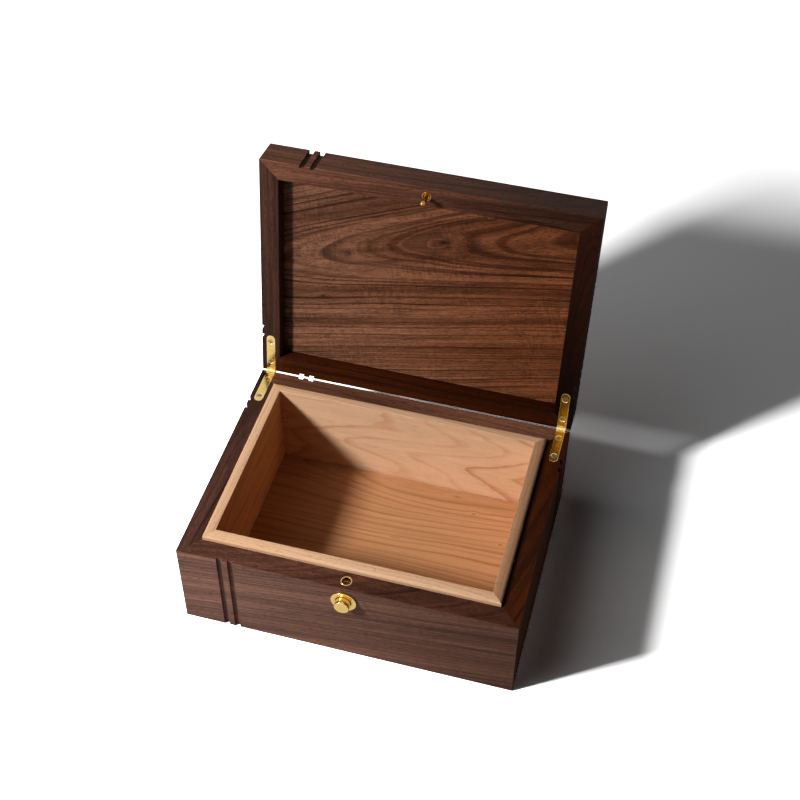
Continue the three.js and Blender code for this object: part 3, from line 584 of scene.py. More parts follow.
def wood_material(node, board, seed):
    """One board's own wood, its colour drifting along the grain between two tones.

    The two tones carry the wood's own tone together with painted sheen and painted shade.
    A rim tint is for the narrow face at the top of a board, which is cut across the rings; it is
    painted light that takes the painted sheen and shade of the broad faces off the rim, and darkens a
    lip in shade. A level across is painted sheen on a board that is paler at one of its long edges
    than at the other.
    """
    species, cut, tones, knots = board
    material, g, shader = new_material(f"{node} wood")
    where = g.add("ShaderNodeTexCoord").outputs["Object"]
    location, turn = cut.mapping(node)
    mapping = g.add("ShaderNodeMapping", {"Vector": where, "Location": location, "Rotation": turn})
    place = mapping.outputs[0]
    low, high = shut_box(node)
    long, wide = (abs(way.dot(high - low)) / 2 for way in (cut.grain, cut.face.cross(cut.grain)))
    # Tints along the grain, across it and on the rim: the wood's own tone together with painted sheen and painted
    # shade.
    tone_and_painted_light = g.mix(g.ramp(g.split(place)[0], -long, long), *tones)
    if node in SHEEN_LEVELS_ACROSS:
        across = g.maths("ADD", g.split(place)[1], cut.pith_across)
        tone_and_painted_light = g.scaled(tone_and_painted_light, g.ramp(across, -wide, wide, *SHEEN_LEVELS_ACROSS[node]))
    if node in RIM_LIGHT_TINTS:
        deep = LIP_DEPTH if species is LIP_MAPLE else RIM_DEPTH
        on_rim = g.ramp(g.split(where)[2], high.z - deep, high.z - deep * RIM_FADE)
        tone_and_painted_light = g.mix(on_rim, tone_and_painted_light, g.vector("MULTIPLY", tone_and_painted_light, RIM_LIGHT_TINTS[node]))
    dark = 0.0
    for knot in knots:
        centre = (knot.along, knot.across - cut.pith_across, 0.0)
        shape = {"Centre": centre, "Size": knot.size, "Stretch": knot.stretch, "Lift": knot.lift}
        flow = g.group(KNOT, {"Place": place, **shape})
        place = flow["Place"]
        dark = g.maths("MULTIPLY_ADD", flow["Mask"], knot.darkness, dark)
    place = g.vector("ADD", place, (CUT_SPACING * seed, 0.0, 0.0))
    wood = g.group(WOOD_FIGURE, {"Place": place, **species})
    colour = wood["Color"]
    if knots:
        colour = g.mix(dark, colour, species["Deep"])
    colour = g.vector("MULTIPLY", colour, tone_and_painted_light)
    # Paler eased edges: partly worn by use, partly a painted highlight where they catch the lamp.
    edge = g.add("ShaderNodeAttribute", attribute_name="edge").outputs["Fac"]
    wear_and_highlight = g.group(EDGE_WEAR_AND_HIGHLIGHT, {"Place": where, "Edge": edge, "Depth": WEAR_AND_HIGHLIGHT_DEPTH})["Mask"]
    rubbed_and_lit = g.scaled(g.vector("MULTIPLY", species["Pale"][:3], tone_and_painted_light), WEAR_AND_HIGHLIGHT_PALER)
    g.feed(shader.inputs["Base Color"], g.mix(wear_and_highlight, colour, rubbed_and_lit))
    g.feed(shader.inputs["Roughness"], g.maths("MULTIPLY_ADD", wear_and_highlight, -WEAR_SMOOTHS, wood["Roughness"]))
    shader.inputs["Specular IOR Level"].default_value = WOOD_GLOSS
    bump = g.add(
        "ShaderNodeBump",
        {"Strength": WOOD_BUMP, "Distance": WOOD_BUMP_DEPTH, "Height": wood["Height"]},
    )
    g.feed(shader.inputs["Normal"], bump.outputs[0])
    return material


Finish = namedtuple("Finish", "name bright dull roughness marks")
BRASS_BRIGHT = (0.83, 0.58, 0.20, 1)
BRASS_DULL = (0.62, 0.37, 0.09, 1)
# Paler brass for edges and the leaves' border strips: partly polish, partly painted highlight.
POLISHED_AND_HIGHLIGHT_BRASS = (0.95, 0.74, 0.33, 1)
TURNED_FINISH = Finish("brass", BRASS_BRIGHT, BRASS_DULL, 0.14, 0.35)
LEAF_FINISH = Finish("brass", BRASS_BRIGHT, BRASS_DULL, 0.12, 0.35)
# Darker brass for the right leaves: a painted darker reflection of the dark walnut beside them, with heavier
# marks.
DARK_REFLECTION_LEAF_FINISH = Finish("brass", (0.66, 0.38, 0.028, 1), (0.24, 0.11, 0.008, 1), 0.14, 1.0)
HINGE_PIN_FINISH = Finish("brass", BRASS_BRIGHT, BRASS_DULL, 0.22, 0.3)
FERRULE_FINISH = Finish("brass", (0.76, 0.48, 0.20, 1), (0.50, 0.26, 0.09, 1), 0.16, 0.4)
CATCH_PIN_FINISH = Finish("brass", (0.44, 0.21, 0.045, 1), (0.20, 0.085, 0.02, 1), 0.12, 0.35)
SCREW_FINISH = Finish("brass", (0.62, 0.45, 0.27, 1), (0.24, 0.14, 0.07, 1), 0.2, 0.8)
# Dark brass for the pieces inside the latch: painted shade for the dark hole behind the ferrule.
SHADED_INSIDE_FINISH = Finish("dark brass", (0.20, 0.12, 0.05, 1), (0.08, 0.045, 0.02, 1), 0.4, 0.4)
SPRING_FINISH = Finish("steel wire", (0.62, 0.62, 0.60, 1), (0.40, 0.39, 0.37, 1), 0.3, 0.3)


def metal_material(name, finish, centre, along=None, turned=None):
    """Metal brushed along an axis or turned round one, its edges paler: partly polished by use, partly a painted
    highlight, most of all along the leaves' border strips.
    """
    material, g, shader = new_material(f"{name} {finish.name}")
    where = g.add("ShaderNodeTexCoord").outputs["Object"]
    place = g.vector("SUBTRACT", where, tuple(centre))
    if turned is not None:
        height = g.vector("DOT_PRODUCT", place, tuple(turned))
        flat = g.vector("SUBTRACT", place, g.scaled(tuple(turned), height))
        place = g.combine(0.0, g.vector("LENGTH", flat), height)
    elif along is not None:
        run = g.vector("DOT_PRODUCT", place, tuple(along))
        cross = g.vector("SUBTRACT", place, g.scaled(tuple(along), run))
        place = g.combine(run, g.vector("DOT_PRODUCT", cross, (1, 1, 1)), g.vector("LENGTH", cross))
    metal = g.group(
        BRUSHED_METAL,
        {
            "Place": place,
            "Bright": finish.bright,
            "Dull": finish.dull,
            "Marks": finish.marks,
            "Gloss Roughness": finish.roughness,
        },
    )
    # Paler edges and border strips: partly polish, partly painted highlight.
    edge = g.add("ShaderNodeAttribute", attribute_name="edge").outputs["Fac"]
    g.feed(shader.inputs["Base Color"], g.mix(edge, metal["Color"], POLISHED_AND_HIGHLIGHT_BRASS))
    g.feed(shader.inputs["Roughness"], metal["Roughness"])
    shader.inputs["Metallic"].default_value = 1.0
    bump = g.add(
        "ShaderNodeBump",
        {"Strength": METAL_BUMP, "Distance": METAL_BUMP_DEPTH, "Height": metal["Height"]},
    )
    g.feed(shader.inputs["Normal"], bump.outputs[0])
    return material


def finish_mesh(mesh, material):
    """Smooth shading that breaks only at the sharp edges, and one material."""
    mesh.shade_smooth()
    mesh.set_sharp_from_angle(angle=math.radians(SMOOTH_DEG))
    mesh.materials.clear()
    mesh.materials.append(material)


def place_piece(name, mesh, material, nodes):
    """A finished piece that stands for some CAD nodes and rides on their body."""
    finish_mesh(mesh, material)
    piece = bpy.data.objects.new(name, mesh)
    bpy.context.scene.collection.objects.link(piece)
    weighted = piece.modifiers.new("weighted normals", "WEIGHTED_NORMAL")
    weighted.keep_sharp = True
    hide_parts(*nodes)
    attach(piece, BODIES[nodes[0]])
    return piece


def is_mitre(face):
    """Whether a face is the broad slanting end of a board."""
    return abs(abs(face.normal.x) - math.sqrt(0.5)) < MITRE_SLACK and face.calc_area() > MITRE_AREA


def eased_copy(node, ease, border=0.0):
    """A copy of a CAD node's mesh with flat faces whole and its edges eased, but for those of a mitre.

    A border is a strip let into its broadest faces, along their edges, that counts as edge too: on the hinge
    leaves it carries a painted highlight.
    """
    mesh = frame["nodes"][node].data.copy()
    shape = bmesh.new()
    shape.from_mesh(mesh)
    bmesh.ops.remove_doubles(shape, verts=shape.verts, dist=WELD)
    bmesh.ops.dissolve_limit(
        shape,
        angle_limit=math.radians(FLAT_DEG),
        verts=shape.verts,
        edges=shape.edges,
    )
    shape.normal_update()
    edges = [
        edge
        for edge in shape.edges
        if len(edge.link_faces) == 2
        and edge.is_convex
        and edge.calc_face_angle() > math.radians(FOLD_DEG)
        and not any(is_mitre(face) for face in edge.link_faces)
    ]
    bmesh.ops.bevel(
        shape,
        geom=edges,
        offset=ease,
        segments=EASE_STEPS,
        profile=0.5,
        affect="EDGES",
        clamp_overlap=True,
    )
    if border:
        shape.normal_update()
        broad = max(shape.faces, key=lambda face: face.calc_area()).normal.copy()
        flat = [face for face in shape.faces if abs(face.normal.dot(broad)) > PARALLEL]
        bmesh.ops.inset_region(
            shape,
            faces=flat,
            thickness=border,
            use_even_offset=True,
            use_boundary=True,
        )
    layer = shape.loops.layers.float.new("edge")
    for face in shape.faces:
        strip = 2 * face.calc_area() / face.calc_perimeter()
        for loop in face.loops:
            loop[layer] = 1.0 if strip < EDGE_STRIP else 0.0
    shape.to_mesh(mesh)
    shape.free()
    return mesh


FRONT, BACK, LEFT, RIGHT = (0, -1, 0), (0, 1, 0), (-1, 0, 0), (1, 0, 0)
UP, DOWN = (0, 0, 1), (0, 0, -1)
ALONG_X, ALONG_Y = (1, 0, 0), (0, 1, 0)


def shade(*levels):
    """A tone or tint: one level for all colours, or one each for red, green and blue."""
    red, green, blue = levels * 3 if len(levels) == 1 else levels
    return (red, green, blue, 1)


EVEN = (shade(1.0), shade(1.0))

# Rim tints, painted light: the front's rim is darker, without the painted sheen of its face; the rims of the
# case's right side and of the lining's left wall are tinted back from the painted shade on their faces; the
# lining's right lip is darker as painted shade.
RIM_LIGHT_TINTS = {
    "case_front": (0.68, 0.56, 0.50),
    "case_right": (1.48, 0.97, 0.45),
    "liner_left": (1.0, 1.18, 1.6),
    "liner_right": (0.78, 0.69, 0.63),
}
# Painted sheen across the panel: paler at its edge by the hinge than at its free edge.
SHEEN_LEVELS_ACROSS = {"lid_panel": (1.2, 0.84)}

# The tones hold the wood's own tone and painted light: the front boards fade from left to right as painted sheen
# from the lamp at the left falls off.
BOARDS = {
    "case_front": Board(
        WALNUT,
        Cut(ALONG_X, FRONT, 0.03, 0.11, 0.02, 0.14),
        (shade(0.90, 0.93, 0.94), shade(0.48, 0.42, 0.38)),
    ),
    "case_back": Board(
        WARM_WALNUT,
        Cut(ALONG_X, BACK, 0.05, 0.06, 0.03, 0.03),
        (shade(0.9), shade(1.1)),
    ),
    "case_left": Board(
        PURPLE_SHEEN_WALNUT,
        Cut(ALONG_Y, LEFT, 0.04, 0.05, 0.03, 0.04),
        (shade(0.8), shade(0.65)),
    ),
    # Painted shade: the outer face, which the lamp misses, darker and greyer; its rim tint brings the rim back.
    "case_right": Board(
        DARK_WALNUT,
        Cut(ALONG_Y, RIGHT, 0.05, -0.02, 0.35, -0.08),
        (shade(0.7, 1.1, 2.2), shade(0.5, 0.78, 1.5)),
    ),
    "case_bottom": Board(WALNUT, Cut(ALONG_X, DOWN, 0.07, 0.02, 0.03, 0.02), EVEN),
    "liner_front": Board(LIP_MAPLE, Cut(ALONG_X, BACK, 0.09, 0.03, 0.02, 0.02), EVEN),
    "liner_back": Board(
        MAPLE,
        Cut(ALONG_X, FRONT, 0.30, 0.01, 0.065, 0.0),
        EVEN,
        (
            Knot(0.030, 0.036, 0.0012, 5.0, 0.0, 0.5),
            Knot(-0.055, 0.018, 0.0009, 4.0, 0.0, 0.5),
            Knot(-0.010, -0.006, 0.0010, 4.0, 0.0, 0.5),
            Knot(0.033, -0.012, 0.0011, 8.0, 0.0, 0.5),
        ),
    ),
    # Painted shade: the wall, turned from the lamp, darker and more orange; its rim tint brings the lip back.
    "liner_left": Board(
        LIP_MAPLE,
        Cut(ALONG_Y, RIGHT, 0.06, 0.02, 0.03, 0.02),
        (shade(0.90, 0.76, 0.55), shade(0.90, 0.76, 0.55)),
    ),
    "liner_right": Board(
        LIP_MAPLE,
        Cut(ALONG_Y, LEFT, 0.06, 0.02, 0.03, 0.02),
        (shade(0.92), shade(0.92)),
    ),
    "liner_floor": Board(
        FLOOR_MAPLE,
        Cut(ALONG_X, UP, 0.045, 0.10, 0.02, 0.03),
        EVEN,
        (
            Knot(0.056, 0.077, 0.0012, 2.0, 0.002, 0.8),
            Knot(0.076, 0.060, 0.0014, 2.0, 0.003, 0.8),
            Knot(0.108, 0.029, 0.0014, 2.0, 0.003, 0.8),
            Knot(-0.085, 0.013, 0.0010, 12.0, 0.0, 0.6),
            Knot(0.009, 0.014, 0.0010, 7.0, 0.0, 0.6),
        ),
    ),
    "lid_front": Board(
        WARM_WALNUT,
        Cut(ALONG_X, DOWN, 0.03, 0.03, 0.05, 0.10),
        (shade(0.92), shade(0.22, 0.185, 0.165)),
    ),
    "lid_back": Board(
        DARK_WALNUT,
        Cut(ALONG_X, DOWN, 0.05, 0.05, 0.02, 0.03),
        (shade(0.78), shade(0.46)),
    ),
    "lid_left": Board(
        PURPLE_SHEEN_WALNUT,
        Cut(ALONG_Y, DOWN, 0.04, 0.03, 0.03, 0.04),
        (shade(0.55, 0.52, 0.47), shade(0.45)),
    ),
    "lid_right": Board(
        DARK_WALNUT,
        Cut(ALONG_Y, DOWN, 0.04, 0.02, 0.10, 0.12),
        (shade(0.32), shade(0.06)),
    ),
    "lid_panel": Board(
        PANEL_WALNUT,
        Cut(ALONG_X, DOWN, 0.059, 0.050, 0.07, 0.26),
        (shade(0.80, 0.87, 1.03), shade(0.70, 0.55, 0.42)),
        (
            Knot(0.021, 0.052, 0.0040, 2.0, 0.003, 0.8),
            Knot(-0.071, 0.046, 0.0015, 1.5, 0.002, 0.8),
            Knot(-0.107, 0.002, 0.0022, 1.6, 0.0015, 0.6),
            Knot(0.068, 0.074, 0.0012, 1.5, 0.002, 0.8),
            Knot(0.075, -0.049, 0.0011, 3.0, 0.001, 0.8),
        ),
    ),
}


def dress_boards():
    """Every board in its own wood."""
    for seed, (node, board) in enumerate(BOARDS.items(), start=1):
        material = wood_material(node, board, seed)
        place_piece(f"{node}_board", eased_copy(node, WOOD_EASE), material, [node])


def rounded(corners):
    """A turned profile from (radius, height, round) corners, with its rounds as fine arcs."""
    points = []
    for index, (radius, height, round_off) in enumerate(corners):
        here = Vector((radius, height))
        if round_off == 0.0:
            points.append(here)
            continue
        before = Vector(corners[index - 1][:2]) - here
        after = Vector(corners[(index + 1) % len(corners)][:2]) - here
        before.normalize()
        after.normalize()
        half = before.angle(after) / 2
        first = here + before * (round_off / math.tan(half))
        last = here + after * (round_off / math.tan(half))
        centre = here + (before + after).normalized() * (round_off / math.sin(half))
        for step in range(ARC_STEPS + 1):
            share = step / ARC_STEPS
            toward = (first - centre).lerp(last - centre, share).normalized()
            points.append(centre + toward * round_off)
    return points


def turned_mesh(name, profile, to_place, sides=TURNED_SIDES):
    """A closed profile of (radius, height) points turned round Z, and put in its place."""
    shape = bmesh.new()
    angles = [2 * math.pi * side / sides for side in range(sides)]
    loops = []
    for radius, height in profile:
        if radius < WELD:
            places = [(0.0, 0.0, height)]
        else:
            places = [(radius * math.cos(angle), radius * math.sin(angle), height) for angle in angles]
        loops.append([shape.verts.new(place) for place in places])
    for first, second in zip(loops, loops[1:] + loops[:1]):
        for side in range(sides):
            after = (side + 1) % sides
            ring = [
                first[side % len(first)],
                first[after % len(first)],
                second[after % len(second)],
                second[side % len(second)],
            ]
            corners = list(dict.fromkeys(ring))
            if len(corners) > 2:
                shape.faces.new(corners)
    bmesh.ops.recalc_face_normals(shape, faces=shape.faces)
    mesh = bpy.data.meshes.new(name)
    shape.to_mesh(mesh)
    shape.free()
    mesh.transform(to_place)
    return mesh


def middle(node):
    low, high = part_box(node)
    return (low + high) / 2


def facing_front(node):
    """Turns a profile's axis from Z to -Y through a node's middle, so that heights point to the front."""
    centre = middle(node)
    return Matrix.Translation((centre.x, 0, centre.z)) @ Matrix.Rotation(math.pi / 2, 4, "X")


def dress_bezel():
    low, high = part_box("latch_bezel")
    wide = (high.x - low.x) / 2
    face = -low.y
    seat = -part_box("case_front")[0].y + BEZEL_SEAT_GAP
    end = -high.y
    profile = rounded(
        [
            (BEZEL_BORE, end, 0.0),
            (BEZEL_BORE, face, BEZEL_ROUND),
            (wide, face, BEZEL_ROUND),
            (wide, seat, 0.0),
            (BEZEL_SLEEVE, seat, 0.0),
            (BEZEL_SLEEVE, end, 0.0),
        ]
    )
    mesh = turned_mesh("bezel", profile, facing_front("latch_bezel"))
    material = metal_material("latch_bezel", TURNED_FINISH, middle("latch_bezel"), turned=ALONG_Y)
    place_piece("latch_bezel_ring", mesh, material, ["latch_bezel"])


def dress_button():
    low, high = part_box("latch_button")
    wide = (high.x - low.x) / 2
    face, rear = -low.y, -high.y
    socket = rear + BUTTON_SOCKET_DEPTH
    profile = rounded(
        [
            (0.0, face, 0.0),
            (wide, face, BUTTON_ROUND),
            (wide, rear, 0.0),
            (BUTTON_SOCKET_RADIUS, rear, 0.0),
            (BUTTON_SOCKET_RADIUS, socket, 0.0),
            (0.0, socket, 0.0),
        ]
    )
    mesh = turned_mesh("button", profile, facing_front("latch_button"))
    material = metal_material("latch_button", TURNED_FINISH, middle("latch_button"), turned=ALONG_Y)
    place_piece("latch_button_cap", mesh, material, ["latch_button"])


def dress_ferrule():
    low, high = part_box("strike_ferrule")
    centre = (low + high) / 2
    wide = (high.x - low.x) / 2
    profile = rounded(
        [
            (FERRULE_BORE, low.z, 0.0),
            (wide, low.z, 0.0),
            (wide, high.z, FERRULE_ROUND),
            (FERRULE_BORE, high.z, FERRULE_ROUND),
        ]
    )
    mesh = turned_mesh("ferrule", profile, Matrix.Translation((centre.x, centre.y, 0)))
    material = metal_material("strike_ferrule", FERRULE_FINISH, centre, turned=UP)
    place_piece("strike_ferrule_ring", mesh, material, ["strike_ferrule"])


def dress_catch_pin():
    """The pin is drawn as it hangs with the lid shut: its ball below, and its dish let into the rail."""
    low, high = shut_box("catch_pin")
    centre = (low + high) / 2
    dish = (high.x - low.x) / 2
    rim = shut_box("lid_front")[0].z
    ball = low.z + BALL_RADIUS
    neck = math.pi - math.asin(WAIST_RADIUS / BALL_RADIUS)
    angles = [neck * step / BALL_STEPS for step in range(BALL_STEPS + 1)]
    profile = [(BALL_RADIUS * math.sin(angle), ball - BALL_RADIUS * math.cos(angle)) for angle in angles]
    profile[0] = (0.0, low.z)
    waist_end = ball + WAIST_ABOVE_BALL
    profile += [(WAIST_RADIUS, waist_end), (SHAFT_RADIUS, waist_end + SHAFT_RADIUS - WAIST_RADIUS)]
    bowl = dish - DISH_RIM - SHAFT_RADIUS
    for step in range(DISH_STEPS + 1):
        angle = math.pi / 2 * step / DISH_STEPS
        profile.append((SHAFT_RADIUS + bowl * math.sin(angle), rim + DISH_HOLLOW * math.cos(angle)))
    back = rim + DISH_DEPTH
    profile += rounded(
        [
            (dish - DISH_RIM, rim, 0.0),
            (dish, rim, DISH_RIM / 3),
            (dish, back, 0.0),
            (ROOT_RADIUS, back, 0.0),
            (ROOT_RADIUS, high.z, 0.0),
            (0.0, high.z, 0.0),
        ]
    )[1:]
    to_place = SHUT_TO_REST @ Matrix.Translation((centre.x, centre.y, 0))
    mesh = turned_mesh("catch pin", profile, to_place, TURNED_SIDES // 2)
    axis = SHUT_TO_REST.to_3x3() @ Vector(UP)
    material = metal_material("catch_pin", CATCH_PIN_FINISH, SHUT_TO_REST @ centre, turned=axis)
    place_piece("catch_pin_turned", mesh, material, ["catch_pin"])


def dress_leaves():
    """The hinge leaves are brushed along their length, the right pair darker brass with heavier marks, a painted
    darker reflection, on turned brass pins.
    """
    for node in SLOTS:
        if node.startswith("hinge") and node.endswith("leaf"):
            along = Vector(ALONG_Y)
            if BODIES[node] == "lid":
                along = SHUT_TO_REST.to_3x3() @ along
            finish = DARK_REFLECTION_LEAF_FINISH if "right" in node else LEAF_FINISH
            material = metal_material(node, finish, middle(node), along=along)
            plate = eased_copy(node, LEAF_EASE, border=LEAF_HIGHLIGHT_BORDER)
            place_piece(f"{node}_plate", plate, material, [node])
        elif node.startswith("hinge") and node.endswith("pin"):
            material = metal_material(node, HINGE_PIN_FINISH, middle(node), turned=ALONG_X)
            place_piece(f"{node}_rod", eased_copy(node, LEAF_EASE), material, [node])


def dress_latch_inside():
    """The barrel and the plunger lie in the dark behind the ferrule, and are dark brown brass as painted shade."""
    for node in ("latch_barrel", "latch_plunger"):
        material = metal_material(node, SHADED_INSIDE_FINISH, middle(node), turned=ALONG_Y)
        place_piece(f"{node}_body", eased_copy(node, LEAF_EASE), material, [node])


def new_geometry_tree(name, inputs):
    """A Geometry Nodes tree with named inputs, as (graph, inputs, output node, socket identifiers)."""
    tree = bpy.data.node_groups.new(name, "GeometryNodeTree")
    tree.interface.new_socket("Geometry", in_out="INPUT", socket_type="NodeSocketGeometry")
    names = {}
    for title, kind in inputs.items():
        names[title] = tree.interface.new_socket(title, in_out="INPUT", socket_type=kind).identifier
    tree.interface.new_socket("Geometry", in_out="OUTPUT", socket_type="NodeSocketGeometry")
    graph = Graph(tree)
    return graph, graph.add("NodeGroupInput").outputs, graph.add("NodeGroupOutput").inputs, names


def grown_mesh(name, points, tree, names, values, material):
    """The plain mesh that a tree grows from some points with its inputs set."""
    seed = bpy.data.meshes.new(f"{name} points")
    seed.from_pydata(points, [], [])
    carrier = bpy.data.objects.new(f"{name} points", seed)
    bpy.context.scene.collection.objects.link(carrier)
    grower = carrier.modifiers.new("grow", "NODES")
    grower.node_group = tree
    for title, value in {**values, "Material": material}.items():
        grower[names[title]] = value
    bpy.context.view_layer.update()
    evaluated = carrier.evaluated_get(bpy.context.evaluated_depsgraph_get())
    mesh = bpy.data.meshes.new_from_object(evaluated)
    carrier.modifiers.remove(grower)
    bpy.data.objects.remove(carrier)
    return mesh


def make_screw_tree():
    """A countersunk screw with a cross recess and a fine thread, at each point, its head facing up."""
    sizes = (
        "Head Radius",
        "Head Height",
        "Shank Radius",
        "Shank Length",
        "Thread Radius",
        "Thread Turns",
        "Recess Width",
        "Recess Length",
        "Recess Depth",
        "Turn Step",
    )
    inputs = {**dict.fromkeys(sizes, NUMBER), "Material": "NodeSocketMaterial"}
    g, inp, out, names = new_geometry_tree("countersunk screws", inputs)

    def lifted(geometry, z):
        values = {"Geometry": geometry, "Translation": g.combine(0.0, 0.0, z)}
        return g.add("GeometryNodeTransform", values).outputs[0]

    drop = g.maths("MULTIPLY", inp["Head Height"], -1.0)
    head = g.add(
        "GeometryNodeMeshCone",
        {
            "Vertices": SCREW_SIDES,
            "Radius Top": inp["Head Radius"],
            "Radius Bottom": inp["Shank Radius"],
            "Depth": inp["Head Height"],
        },
    ).outputs["Mesh"]
    head = lifted(head, drop)
    recess_tall = g.maths("MULTIPLY", inp["Recess Depth"], 2.0)
    bars = [
        g.add("GeometryNodeMeshCube", {"Size": g.combine(long, wide, recess_tall)}).outputs["Mesh"]
        for long, wide in (
            (inp["Recess Length"], inp["Recess Width"]),
            (inp["Recess Width"], inp["Recess Length"]),
        )
    ]
    for bar in bars:
        cut_head = g.add("GeometryNodeMeshBoolean", operation="DIFFERENCE")
        g.feed(cut_head.inputs["Mesh 1"], head)
        g.feed(cut_head.inputs["Mesh 2"], bar)
        head = cut_head.outputs["Mesh"]
    tip = g.add(
        "GeometryNodeMeshCone",
        {
            "Vertices": SCREW_SIDES // 2,
            "Radius Top": inp["Shank Radius"],
            "Radius Bottom": 0.0,
            "Depth": inp["Shank Radius"],
        },
    ).outputs["Mesh"]
    bottom = g.maths("MULTIPLY", inp["Shank Length"], -1.0)
    tip = lifted(tip, bottom)
    rod = g.maths("ADD", inp["Head Height"], inp["Shank Radius"])
    rod = g.maths("SUBTRACT", inp["Shank Length"], rod)
    shank = g.add(
        "GeometryNodeMeshCylinder",
        {"Vertices": SCREW_SIDES // 2, "Radius": inp["Shank Radius"], "Depth": rod},
    ).outputs["Mesh"]
    shank = lifted(shank, g.maths("SUBTRACT", drop, g.maths("DIVIDE", rod, 2.0)))
    spiral = g.add(
        "GeometryNodeCurveSpiral",
        {
            "Resolution": THREAD_STEPS_PER_TURN,
            "Rotations": inp["Thread Turns"],
            "Start Radius": inp["Shank Radius"],
            "End Radius": inp["Shank Radius"],
            "Height": g.maths("MULTIPLY", rod, THREAD_SHARE),
        },
    ).outputs["Curve"]
    ridge = g.add(
        "GeometryNodeCurvePrimitiveCircle",
        {"Resolution": THREAD_SIDES, "Radius": inp["Thread Radius"]},
    )
    thread = g.add(
        "GeometryNodeCurveToMesh",
        {"Curve": spiral, "Profile Curve": ridge.outputs["Curve"], "Fill Caps": True},
    ).outputs["Mesh"]
    thread = lifted(thread, g.maths("ADD", bottom, inp["Shank Radius"]))
    join = g.add("GeometryNodeJoinGeometry")
    for part in (thread, shank, tip, head):
        g.feed(join.inputs[0], part)
    angle = g.maths("MULTIPLY", g.add("GeometryNodeInputIndex").outputs[0], inp["Turn Step"])
    screws = g.add(
        "GeometryNodeInstanceOnPoints",
        {"Points": inp["Geometry"], "Instance": join.outputs[0], "Rotation": g.combine(0.0, 0.0, angle)},
    )
    real = g.add("GeometryNodeRealizeInstances", {"Geometry": screws.outputs[0]})
    dressed = g.add("GeometryNodeSetMaterial", {"Geometry": real.outputs[0], "Material": inp["Material"]})
    g.feed(out["Geometry"], dressed.outputs[0])
    return g.tree, names


def dress_screws():
    """Four screws in the case's leaves and four in the lid's, a mesh for each body."""
    tree, names = make_screw_tree()
    over = Matrix.Rotation(math.pi, 4, "X")
    for side, to_place in (("case", Matrix.Identity(4)), ("lid", SHUT_TO_REST @ over)):
        nodes = [node for node in SLOTS if f"_{side}_screw_" in node]
        to_heads = to_place.inverted()
        points = []
        for node in nodes:
            places = [to_heads @ vertex.co for vertex in frame["nodes"][node].data.vertices]
            top = max(place.z for place in places)
            bottom = min(place.z for place in places)
            wide = [place for place in places if place.z > top - WELD]
            middle_x = (min(place.x for place in wide) + max(place.x for place in wide)) / 2
            middle_y = (min(place.y for place in wide) + max(place.y for place in wide)) / 2
            radius = (max(place.x for place in wide) - min(place.x for place in wide)) / 2
            points.append((middle_x, middle_y, top))
        material = metal_material(f"{side} screws", SCREW_FINISH, middle(nodes[0]))
        values = {
            "Head Radius": radius,
            "Head Height": SCREW_HEAD_HEIGHT,
            "Shank Radius": SCREW_SHANK_RADIUS,
            "Shank Length": top - bottom,
            "Thread Radius": THREAD_RADIUS,
            "Thread Turns": float(THREAD_TURNS),
            "Recess Width": CROSS_WIDTH,
            "Recess Length": CROSS_LENGTH,
            "Recess Depth": CROSS_DEPTH,
            "Turn Step": SCREW_TURN_STEP,
        }
        mesh = grown_mesh(f"{side} screws", points, tree, names, values, material)
        mesh.transform(to_place)
        place_piece(f"{side}_hinge_screws", mesh, material, nodes)


def make_spring_tree():
    """A coil of wire that climbs from its point."""
    kinds = {"Coil Radius": NUMBER, "Wire Radius": NUMBER, "Turns": NUMBER, "Climb": NUMBER}
    g, inp, out, names = new_geometry_tree("coil spring", {**kinds, "Material": "NodeSocketMaterial"})
    spiral = g.add(
        "GeometryNodeCurveSpiral",
        {
            "Resolution": SPRING_STEPS_PER_TURN,
            "Rotations": inp["Turns"],
            "Start Radius": inp["Coil Radius"],
            "End Radius": inp["Coil Radius"],
            "Height": inp["Climb"],
        },
    ).outputs["Curve"]
    section = g.add(
        "GeometryNodeCurvePrimitiveCircle",
        {"Resolution": SPRING_WIRE_SIDES, "Radius": inp["Wire Radius"]},
    )
    wire = g.add(
        "GeometryNodeCurveToMesh",
        {"Curve": spiral, "Profile Curve": section.outputs["Curve"], "Fill Caps": True},
    ).outputs["Mesh"]
    coils = g.add("GeometryNodeInstanceOnPoints", {"Points": inp["Geometry"], "Instance": wire})
    real = g.add("GeometryNodeRealizeInstances", {"Geometry": coils.outputs[0]})
    dressed = g.add("GeometryNodeSetMaterial", {"Geometry": real.outputs[0], "Material": inp["Material"]})
    g.feed(out["Geometry"], dressed.outputs[0])
    return g.tree, names


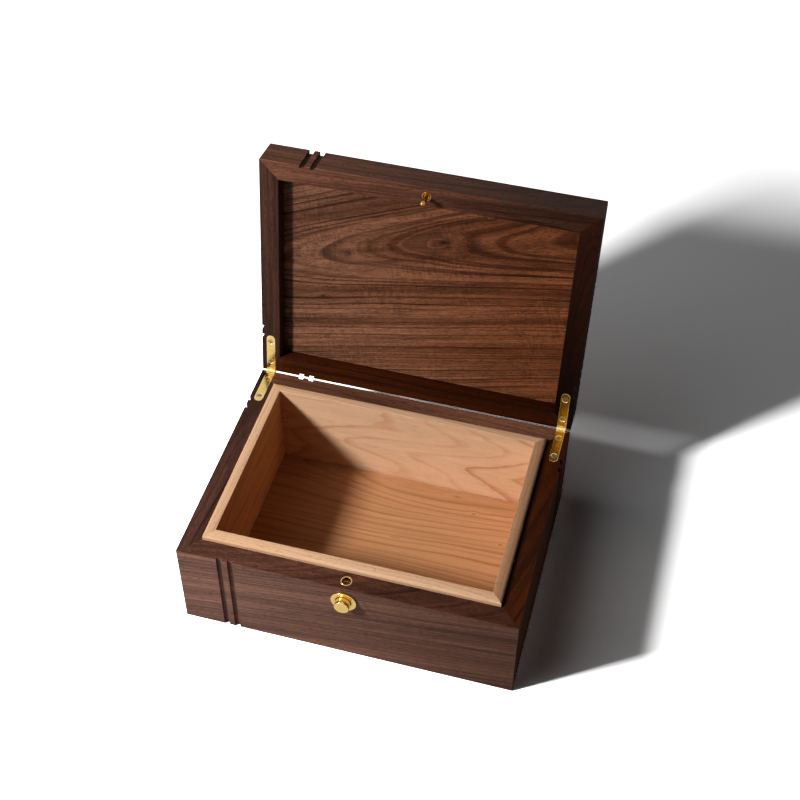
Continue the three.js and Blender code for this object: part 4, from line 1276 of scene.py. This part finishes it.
def dress_spring():
    low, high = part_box("latch_spring")
    centre = (low + high) / 2
    length = high.y - low.y
    tree, names = make_spring_tree()
    material = metal_material("spring", SPRING_FINISH, centre, turned=ALONG_Y)
    values = {
        "Coil Radius": (high.x - low.x) / 2 - SPRING_WIRE_RADIUS,
        "Wire Radius": SPRING_WIRE_RADIUS,
        "Turns": float(SPRING_TURNS),
        "Climb": length - 2 * SPRING_WIRE_RADIUS,
    }
    mesh = grown_mesh("spring", [(0, 0, SPRING_WIRE_RADIUS)], tree, names, values, material)
    turn = Matrix.Rotation(-math.pi / 2, 4, "X")
    mesh.transform(Matrix.Translation((centre.x, low.y, centre.z)) @ turn)
    spring = place_piece("latch_spring_coil", mesh, material, ["latch_spring"])
    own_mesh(spring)


def make_floor():
    """A pale floor that looks brighter than it lights the box, and is plain white far from it."""
    ways = ((-1, -1), (1, -1), (1, 1), (-1, 1))
    corners = [(x * FLOOR_HALF, y * FLOOR_HALF, -FLOOR_DROP) for x, y in ways]
    mesh = bpy.data.meshes.new("studio floor")
    mesh.from_pydata(corners, [], [(0, 1, 2, 3)])
    floor = bpy.data.objects.new("studio_floor", mesh)
    bpy.context.scene.collection.objects.link(floor)
    material, g, shader = new_material("studio paper")
    path = g.add("ShaderNodeLightPath").outputs
    in_view = path["Is Camera Ray"]
    mirrored = g.maths("MAXIMUM", path["Is Glossy Ray"], path["Is Transmission Ray"])
    g.feed(shader.inputs["Base Color"], g.mix(in_view, FLOOR_COLOUR, FLOOR_IN_VIEW))
    distance = g.vector("LENGTH", g.add("ShaderNodeTexCoord").outputs["Object"])
    far = g.ramp(distance, FAR_FLOOR_STARTS, FAR_FLOOR_WHITE)
    shader.inputs["Emission Color"].default_value = (1, 1, 1, 1)
    glow = g.maths("MULTIPLY", far, g.maths("MAXIMUM", in_view, mirrored))
    g.feed(shader.inputs["Emission Strength"], glow)
    shader.inputs["Roughness"].default_value = FLOOR_ROUGHNESS
    shader.inputs["Specular IOR Level"].default_value = 0.0
    mesh.materials.append(material)


def make_lamp(name, place, aim, size, watts):
    lamp = bpy.data.lights.new(name, "AREA")
    lamp.shape = "RECTANGLE"
    lamp.size, lamp.size_y = size
    lamp.energy = watts
    holder = bpy.data.objects.new(name, lamp)
    holder.location = place
    holder.rotation_euler = (Vector(aim) - Vector(place)).to_track_quat("-Z", "Y").to_euler()
    bpy.context.scene.collection.objects.link(holder)


def make_surroundings():
    """White to the camera and in reflections, and faint where it only fills the shadows."""
    world = bpy.data.worlds.new("studio")
    bpy.context.scene.world = world
    world.use_nodes = True
    g = Graph(world.node_tree)
    background = world.node_tree.nodes["Background"]
    background.inputs["Color"].default_value = (1, 1, 1, 1)
    path = g.add("ShaderNodeLightPath").outputs
    mirrored = g.maths("MAXIMUM", path["Is Glossy Ray"], path["Is Transmission Ray"])
    seen = g.maths("MAXIMUM", path["Is Camera Ray"], g.maths("MULTIPLY", mirrored, BACKDROP_LEVEL))
    g.feed(background.inputs["Strength"], g.maths("MAXIMUM", seen, FILL_LEVEL))


def make_camera():
    lens = bpy.data.cameras.new("camera")
    lens.lens = LENS_MM
    lens.sensor_width = SENSOR_MM
    camera = bpy.data.objects.new("camera", lens)
    camera.location = CAMERA_PLACE
    camera.rotation_euler = Euler([math.radians(turn) for turn in CAMERA_TURNS_DEG])
    bpy.context.scene.collection.objects.link(camera)
    bpy.context.scene.camera = camera


dress_boards()
dress_bezel()
dress_button()
dress_ferrule()
dress_catch_pin()
dress_leaves()
dress_latch_inside()
dress_screws()
dress_spring()
make_floor()
make_lamp("key", KEY_PLACE, KEY_AIM, KEY_SIZE, KEY_WATTS)
make_lamp("soft", SOFT_PLACE, KEY_AIM, SOFT_SIZE, SOFT_WATTS)
make_surroundings()
make_camera()
bpy.context.scene.view_settings.view_transform = "Standard"
